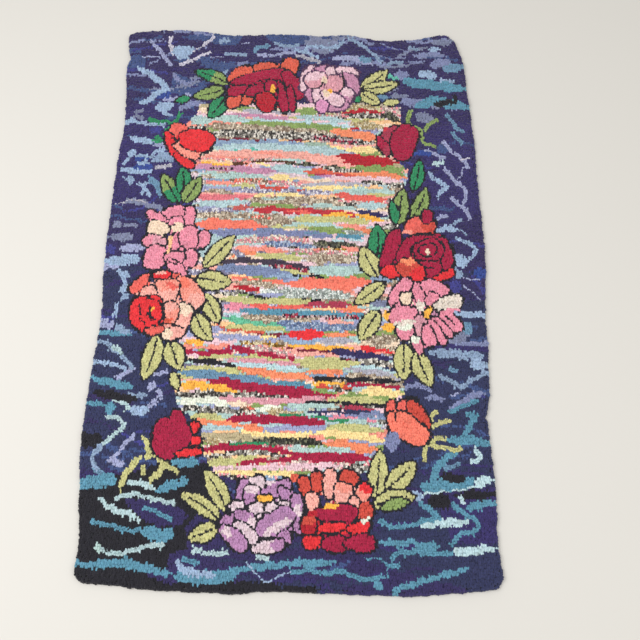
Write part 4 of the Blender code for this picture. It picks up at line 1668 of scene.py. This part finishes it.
def loop_geometry(loops):
    """The points of the loops, in metres: a block of them for each loop."""
    heading = loops[:, HEADING]
    up = np.column_stack([loops[:, LEAN_X], loops[:, LEAN_Y], np.ones(len(loops))])
    up /= np.linalg.norm(up, axis=1)[:, None]
    along = np.column_stack([np.cos(heading), np.sin(heading), np.zeros(len(loops))])
    across = np.cross(up, along)
    across /= np.linalg.norm(across, axis=1)[:, None]
    along = np.cross(across, up)
    chance = np.random.default_rng(HOOKING_SEED + len(loops))
    swell = chance.uniform(*SIZE_SPREAD, (len(loops), 1))
    foot = loops[:, [X, Y, FOOT]]
    points = []
    for share_along, share_across, share_up, _ in LOOP_POINTS:
        jitter = chance.normal(0.0, POINT_SPREAD, (len(loops), 3)) * share_up
        points.append(
            foot
            + along * loops[:, [LENGTH]] * share_along * swell
            + across * loops[:, [WIDTH]] * share_across * swell
            + up * (loops[:, [HEIGHT]] * share_up)
            + jitter
        )
    placed = np.stack(points, 1).reshape(-1, 3)
    placed[:, 2] = np.maximum(placed[:, 2], LOWEST_POINT)
    return placed * MM


def loop_colours(loops, shades, spread):
    """The colours of the loops' points, with painted shade at the roots and a painted highlight at the
    crowns, and a little uneven as dyed wool is.
    """
    chance = np.random.default_rng(HOOKING_SEED + 2 * len(loops))
    base = shades[loops[:, YARN].astype(int), chance.integers(0, 3, len(loops))]
    value = 1.0 + chance.normal(0.0, spread, (len(loops), 1))
    value = value + chance.normal(0.0, CHANNEL_SPREAD, (len(loops), 3))
    lot = 1.0 + DYE_SPREAD * waves(loops[:, X], loops[:, Y], *DYE_WAVES)[:, None]
    # Painted shade and highlight: each point takes the factor of its place in the loop, darkest at the root
    # and lightest at the crown.
    shade = np.array([row[3] for row in LOOP_POINTS])
    made = (base * value * lot)[:, None, :] * shade[None, :, None]
    return np.clip(made, 0.0, 1.0).reshape(-1, 3)


def pile_piece(name, loops):
    """One piece of pile: a closed little body for each loop, all in one mesh."""
    count = len(loops)
    offsets = (np.arange(count) * len(LOOP_POINTS))[:, None, None]
    faces = []
    for size in FACE_SIZES:
        pattern = np.array([face for face in LOOP_FACES if len(face) == size])
        faces.append((offsets + pattern[None]).reshape(-1, size))
    mesh = fill_mesh(name, loop_geometry(loops), faces)
    colour_points(mesh, loop_colours(loops, yarn_shades(), bpy.context.scene.rug_pile.shade_spread))
    map_loops(mesh, count)
    tweed = loops[:, YARN] >= len(YARNS)
    per_loop = [np.repeat(tweed, sum(len(face) == size for face in LOOP_FACES)) for size in FACE_SIZES]
    mesh.polygons.foreach_set("material_index", np.concatenate(per_loop).astype(np.int32))
    return link(name, mesh, wool_yarn(), tweed_yarn())


def add_node(tree, kind, inputs=None, **settings):
    """Adds a node with its settings, its values and its links."""
    node = tree.nodes.new(kind)
    for name, value in settings.items():
        setattr(node, name, value)
    for socket, value in (inputs or {}).items():
        if isinstance(value, bpy.types.NodeSocket):
            tree.links.new(value, node.inputs[socket])
        else:
            node.inputs[socket].default_value = value
    return node


def new_material(name):
    """A new material with an empty node tree."""
    material = bpy.data.materials.new(name)
    material.use_nodes = True
    material.node_tree.nodes.clear()
    return material


# Fibres are about 0.03 mm thick, too fine to show, so they are drawn 0.9 mm apart.
FIBRE = 0.9 * MM
# One strand of a tweed shows for about 2 mm before the twist turns it under.
FLECK = 2.0 * MM
# Threads of the backing are 1.4 mm apart. A wave texture repeats after 0.314 units at a scale of one.
THREAD = 1.4 * MM
WAVE_REPEAT = 0.314
# The jute's colour in painted shade, where the threads dip under, and as a painted highlight, where they
# cross over.
JUTE_SHADED = "#8C7A5C"
JUTE_LIT = "#CDBB98"
# A mix of two colours takes them at these sockets and gives the result at that one.
MIX_FIRST, MIX_SECOND, MIX_RESULT = 6, 7, 2


def wool_surface(tree, colour):
    """Matt fuzzy wool: soft sheen, no shine, and a fine uneven surface of loose fibres."""
    place = add_node(tree, "ShaderNodeTexCoord")
    fibres = add_node(tree, "ShaderNodeTexNoise", {
        "Vector": place.outputs["Object"], "Scale": 1.0 / FIBRE, "Detail": 3.0, "Roughness": 0.6,
    })
    light = add_node(tree, "ShaderNodeMapRange", {
        "Value": fibres.outputs["Fac"], "From Min": 0.3, "From Max": 0.7, "To Min": 0.80, "To Max": 1.14,
    })
    shaded = add_node(tree, "ShaderNodeVectorMath", {
        0: colour, 1: light.outputs["Result"],
    }, operation="MULTIPLY")
    bump = add_node(tree, "ShaderNodeBump", {
        "Height": fibres.outputs["Fac"], "Strength": 0.6, "Distance": 0.5 * MM,
    })
    shader = add_node(tree, "ShaderNodeBsdfPrincipled", {
        "Base Color": shaded.outputs["Vector"], "Roughness": 0.95, "Specular IOR Level": 0.2,
        "Sheen Weight": 0.25, "Sheen Roughness": 0.45, "Normal": bump.outputs["Normal"],
    })
    add_node(tree, "ShaderNodeOutputMaterial", {"Surface": shader.outputs["BSDF"]})


@functools.lru_cache(maxsize=1)
def wool_yarn():
    """Worsted-spun wool, dyed in the hank: one even dye for each loop, read from its points' colours with
    their painted shade and highlight, matt and a little fuzzy.
    """
    material = new_material("wool_yarn_dyed")
    tree = material.node_tree
    colour = add_node(tree, "ShaderNodeVertexColor", layer_name="yarn")
    wool_surface(tree, colour.outputs["Color"])
    return material


@functools.lru_cache(maxsize=1)
def tweed_yarn():
    """Tweed wool, plied from strands of three colours: pale and dark flecks within each loop."""
    material = new_material("wool_yarn_tweed")
    tree = material.node_tree
    colour = add_node(tree, "ShaderNodeVertexColor", layer_name="yarn")
    place = add_node(tree, "ShaderNodeTexCoord")
    flecks = add_node(tree, "ShaderNodeTexNoise", {
        "Vector": place.outputs["Object"], "Scale": 1.0 / FLECK, "Detail": 1.0,
    })
    shade = add_node(tree, "ShaderNodeMapRange", {
        "Value": flecks.outputs["Fac"], "From Min": 0.38, "From Max": 0.62, "To Min": 0.55, "To Max": 1.35,
    })
    mixed = add_node(tree, "ShaderNodeVectorMath", {
        0: colour.outputs["Color"], 1: shade.outputs["Result"],
    }, operation="MULTIPLY")
    wool_surface(tree, mixed.outputs["Vector"])
    return material


@functools.lru_cache(maxsize=1)
def backing_cloth():
    """Jute and cotton backing in a plain weave: dull straw-coloured threads over and under, with painted
    shade in the weave's hollows and a painted highlight on its crests.
    """
    material = new_material("backing_plain_weave")
    tree = material.node_tree
    place = add_node(tree, "ShaderNodeTexCoord")
    heights = []
    for direction in ("X", "Y"):
        wave = add_node(tree, "ShaderNodeTexWave", {
            "Vector": place.outputs["Object"], "Scale": WAVE_REPEAT / THREAD, "Distortion": 0.4,
        }, bands_direction=direction)
        heights.append(wave.outputs["Fac"])
    weave = add_node(tree, "ShaderNodeMath", {0: heights[0], 1: heights[1]}, operation="MULTIPLY")
    colour = add_node(tree, "ShaderNodeMix", {
        "Factor": weave.outputs["Value"],
        MIX_FIRST: (*linear(JUTE_SHADED), 1.0),
        MIX_SECOND: (*linear(JUTE_LIT), 1.0),
    }, data_type="RGBA")
    bump = add_node(tree, "ShaderNodeBump", {"Height": weave.outputs["Value"], "Distance": 0.4 * MM})
    shader = add_node(tree, "ShaderNodeBsdfPrincipled", {
        "Base Color": colour.outputs[MIX_RESULT], "Roughness": 0.9, "Normal": bump.outputs["Normal"],
    })
    add_node(tree, "ShaderNodeOutputMaterial", {"Surface": shader.outputs["BSDF"]})
    return material


def pile_bed(loops, sizes):
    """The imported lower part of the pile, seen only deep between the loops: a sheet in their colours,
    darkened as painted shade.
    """
    gap = BED_SQUARE * sizes["row_gap"]
    outline = drawn_in(eased(rim_line(), 1), BED_INSET)
    low = outline.min(0)
    high = outline.max(0)
    columns, rows = (int(side / gap) + 1 for side in high - low)
    x, y = np.meshgrid(np.linspace(low[0], high[0], columns), np.linspace(low[1], high[1], rows))
    x = x.ravel()
    y = y.ravel()
    held = inside(x, y, outline)
    corner = np.arange(rows * columns).reshape(rows, columns)
    quads = np.stack([corner[:-1, :-1], corner[:-1, 1:], corner[1:, 1:], corner[1:, :-1]], -1).reshape(-1, 4)
    quads = quads[held[quads].all(1)]
    used, numbered = np.unique(quads, return_inverse=True)
    tree = tree_over(loops)
    near = [tree.find((x[i], y[i], 0.0))[1] for i in used]
    height = sizes["bed"] + BED_SWELL * waves(x[used], y[used], *BED_WAVES)
    points = np.column_stack([x[used], y[used], height]) * MM
    mesh = fill_mesh("pile_bed", points, [numbered.reshape(-1, 4)])
    # Painted shade: the nearest loop's yarn colour, darkened because the bed lies deep between the loops.
    colour_points(mesh, yarn_shades()[loops[near, YARN].astype(int), 0] * BED_PAINTED_SHADE)
    return link("pile_bed", mesh, wool_yarn())


def backing_mesh(sizes):
    """The backing cloth, closed all round, with its edge turned under as a hem that lies on the floor."""
    cloth = sizes["cloth"]
    hem = sizes["hem"]
    # Columns: depth from the outline and height, from the top's edge round the fold to the hem's end.
    rings = (
        (3.0, sizes["root"]),
        (2.0, 0.5 * sizes["root"]),
        (3.0, 0.0),
        (hem, 0.0),
        (hem + 0.6, sizes["root"] - cloth),
    )
    rim = rim_line()
    count = len(rim)
    # The deeper a ring lies, the more it is smoothed, so that it doesn't cross itself.
    points = np.concatenate([
        np.column_stack([drawn_in(eased(rim, 2 + int(depth / 5)), depth), np.full(count, height)])
        for depth, height in rings
    ])
    a = np.arange(count)
    b = np.roll(a, -1)
    walls = [
        np.stack([k * count + b, k * count + a, (k + 1) * count + a, (k + 1) * count + b], 1)
        for k in range(len(rings) - 1)
    ]
    lids = [a[None, :], ((len(rings) - 1) * count + a)[None, ::-1]]
    return fill_mesh("backing_cloth", points * MM, [*walls, *lids], smooth=False)


class PilePart:
    """What the operators that hook the pile share."""

    bl_options = {"REGISTER", "UNDO"}
    part = GROUND

    def execute(self, context):
        sizes = sizes_in_mm()
        loops = hooked_loops(tuple(sorted(sizes.items())))
        for name, part, low, high in PILE_PIECES:
            if part != self.part:
                continue
            chosen = loops[(loops[:, PART] == part) & (loops[:, Y] >= low) & (loops[:, Y] < high)]
            if not len(chosen):
                raise RuntimeError(name + " holds no loops")
            pile_piece(name, chosen)
        return {"FINISHED"}


class RUG_OT_hook_ground(PilePart, bpy.types.Operator):
    """Hook the dark marbled ground and the rug's edge"""

    bl_idname = "rug.hook_ground"
    bl_label = "Hook the ground"
    part = GROUND


class RUG_OT_hook_stripes(PilePart, bpy.types.Operator):
    """Hook the striped middle"""

    bl_idname = "rug.hook_stripes"
    bl_label = "Hook the stripes"
    part = STRIPES


class RUG_OT_hook_leaves(PilePart, bpy.types.Operator):
    """Hook the leaves and the stems"""

    bl_idname = "rug.hook_leaves"
    bl_label = "Hook the leaves"
    part = LEAVES


class RUG_OT_hook_flowers(PilePart, bpy.types.Operator):
    """Hook the flowers and the buds"""

    bl_idname = "rug.hook_flowers"
    bl_label = "Hook the flowers"
    part = FLOWERS


class RUG_OT_pack_bed(bpy.types.Operator):
    """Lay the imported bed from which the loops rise"""

    bl_idname = "rug.pack_bed"
    bl_label = "Pack the bed"
    bl_options = {"REGISTER", "UNDO"}

    def execute(self, context):
        sizes = sizes_in_mm()
        pile_bed(hooked_loops(tuple(sorted(sizes.items()))), sizes)
        return {"FINISHED"}


class RUG_OT_lay_backing(bpy.types.Operator):
    """Lay the backing cloth under the pile, with its edge hemmed under"""

    bl_idname = "rug.lay_backing"
    bl_label = "Lay the backing"
    bl_options = {"REGISTER", "UNDO"}

    def execute(self, context):
        pile = [bpy.data.objects.get(row[0]) for row in PILE_PIECES]
        pile.append(bpy.data.objects.get("pile_bed"))
        if None in pile:
            raise RuntimeError("the pile is hooked before its backing is laid")
        backing = link("backing_cloth", backing_mesh(sizes_in_mm()), backing_cloth())
        rim = rim_line() * MM
        return {"FINISHED"}


class RUG_OT_set_stage(bpy.types.Operator):
    """Set the pale floor, the soft light and the camera"""

    bl_idname = "rug.set_stage"
    bl_label = "Set the stage"
    bl_options = {"REGISTER", "UNDO"}

    def execute(self, context):
        scene = context.scene
        floor_mesh = bpy.data.meshes.new("floor")
        half = FLOOR_SIDE / 2
        corners = [(-half, -half, 0.0), (half, -half, 0.0), (half, half, 0.0), (-half, half, 0.0)]
        floor_mesh.from_pydata(corners, [], [(0, 1, 2, 3)])
        paper = new_material("pale_studio_floor")
        shader = add_node(paper.node_tree, "ShaderNodeBsdfPrincipled", {
            "Base Color": (*linear(FLOOR_COLOUR), 1.0), "Roughness": 0.8,
        })
        add_node(paper.node_tree, "ShaderNodeOutputMaterial", {"Surface": shader.outputs["BSDF"]})
        floor_mesh.materials.append(paper)
        floor = bpy.data.objects.new("floor", floor_mesh)
        scene.collection.objects.link(floor)

        for name, place, side, power in LIGHTS:
            lamp = bpy.data.lights.new(name, "AREA")
            lamp.shape = "SQUARE"
            lamp.size = side
            lamp.energy = power
            light = bpy.data.objects.new(name, lamp)
            light.location = place
            light.rotation_euler = (-Vector(place)).to_track_quat("-Z", "Y").to_euler()
            scene.collection.objects.link(light)

        world = bpy.data.worlds.new("soft_room")
        world.use_nodes = True
        background = world.node_tree.nodes["Background"]
        background.inputs["Color"].default_value = (*linear(ROOM_COLOUR), 1.0)
        background.inputs["Strength"].default_value = ROOM_LIGHT
        scene.world = world
        scene.view_settings.view_transform = "Standard"

        lens = bpy.data.cameras.new("camera")
        lens.sensor_width = CAMERA_SENSOR
        lens.lens = CAMERA_LENS
        camera = bpy.data.objects.new("camera", lens)
        camera.location = CAMERA_PLACE
        camera.rotation_euler = [math.radians(turn) for turn in CAMERA_TURNS]
        scene.collection.objects.link(camera)
        scene.camera = camera
        return {"FINISHED"}


class RUG_PT_panel(bpy.types.Panel):
    """The rug's steps, sizes and colours in the sidebar."""

    bl_idname = "RUG_PT_panel"
    bl_label = "Hooked rug"
    bl_space_type = "VIEW_3D"
    bl_region_type = "UI"
    bl_category = "Rug"

    def draw(self, context):
        for step in STEPS:
            self.layout.operator(step.bl_idname)
        for group in (context.scene.rug_pile, context.scene.rug_yarns):
            box = self.layout.box()
            for name in group.__annotations__:
                box.prop(group, name)


STEPS = (
    RUG_OT_hook_ground,
    RUG_OT_hook_stripes,
    RUG_OT_hook_leaves,
    RUG_OT_hook_flowers,
    RUG_OT_pack_bed,
    RUG_OT_lay_backing,
    RUG_OT_set_stage,
)
CLASSES = (YarnColours, PileSizes, *STEPS, RUG_PT_panel)


def register():
    """Makes the operators, the panel and the scene's settings known to Blender."""
    for cls in CLASSES:
        bpy.utils.register_class(cls)
    bpy.types.Scene.rug_yarns = PointerProperty(type=YarnColours)
    bpy.types.Scene.rug_pile = PointerProperty(type=PileSizes)


def unregister():
    """Takes them away again."""
    del bpy.types.Scene.rug_pile
    del bpy.types.Scene.rug_yarns
    for cls in reversed(CLASSES):
        bpy.utils.unregister_class(cls)


def main():
    """Hooks the rug step by step."""
    register()
    bpy.ops.rug.hook_ground()
    bpy.ops.rug.hook_stripes()
    bpy.ops.rug.hook_leaves()
    bpy.ops.rug.hook_flowers()
    bpy.ops.rug.pack_bed()
    bpy.ops.rug.lay_backing()
    bpy.ops.rug.set_stage()


if __name__ == "__main__":
    main()
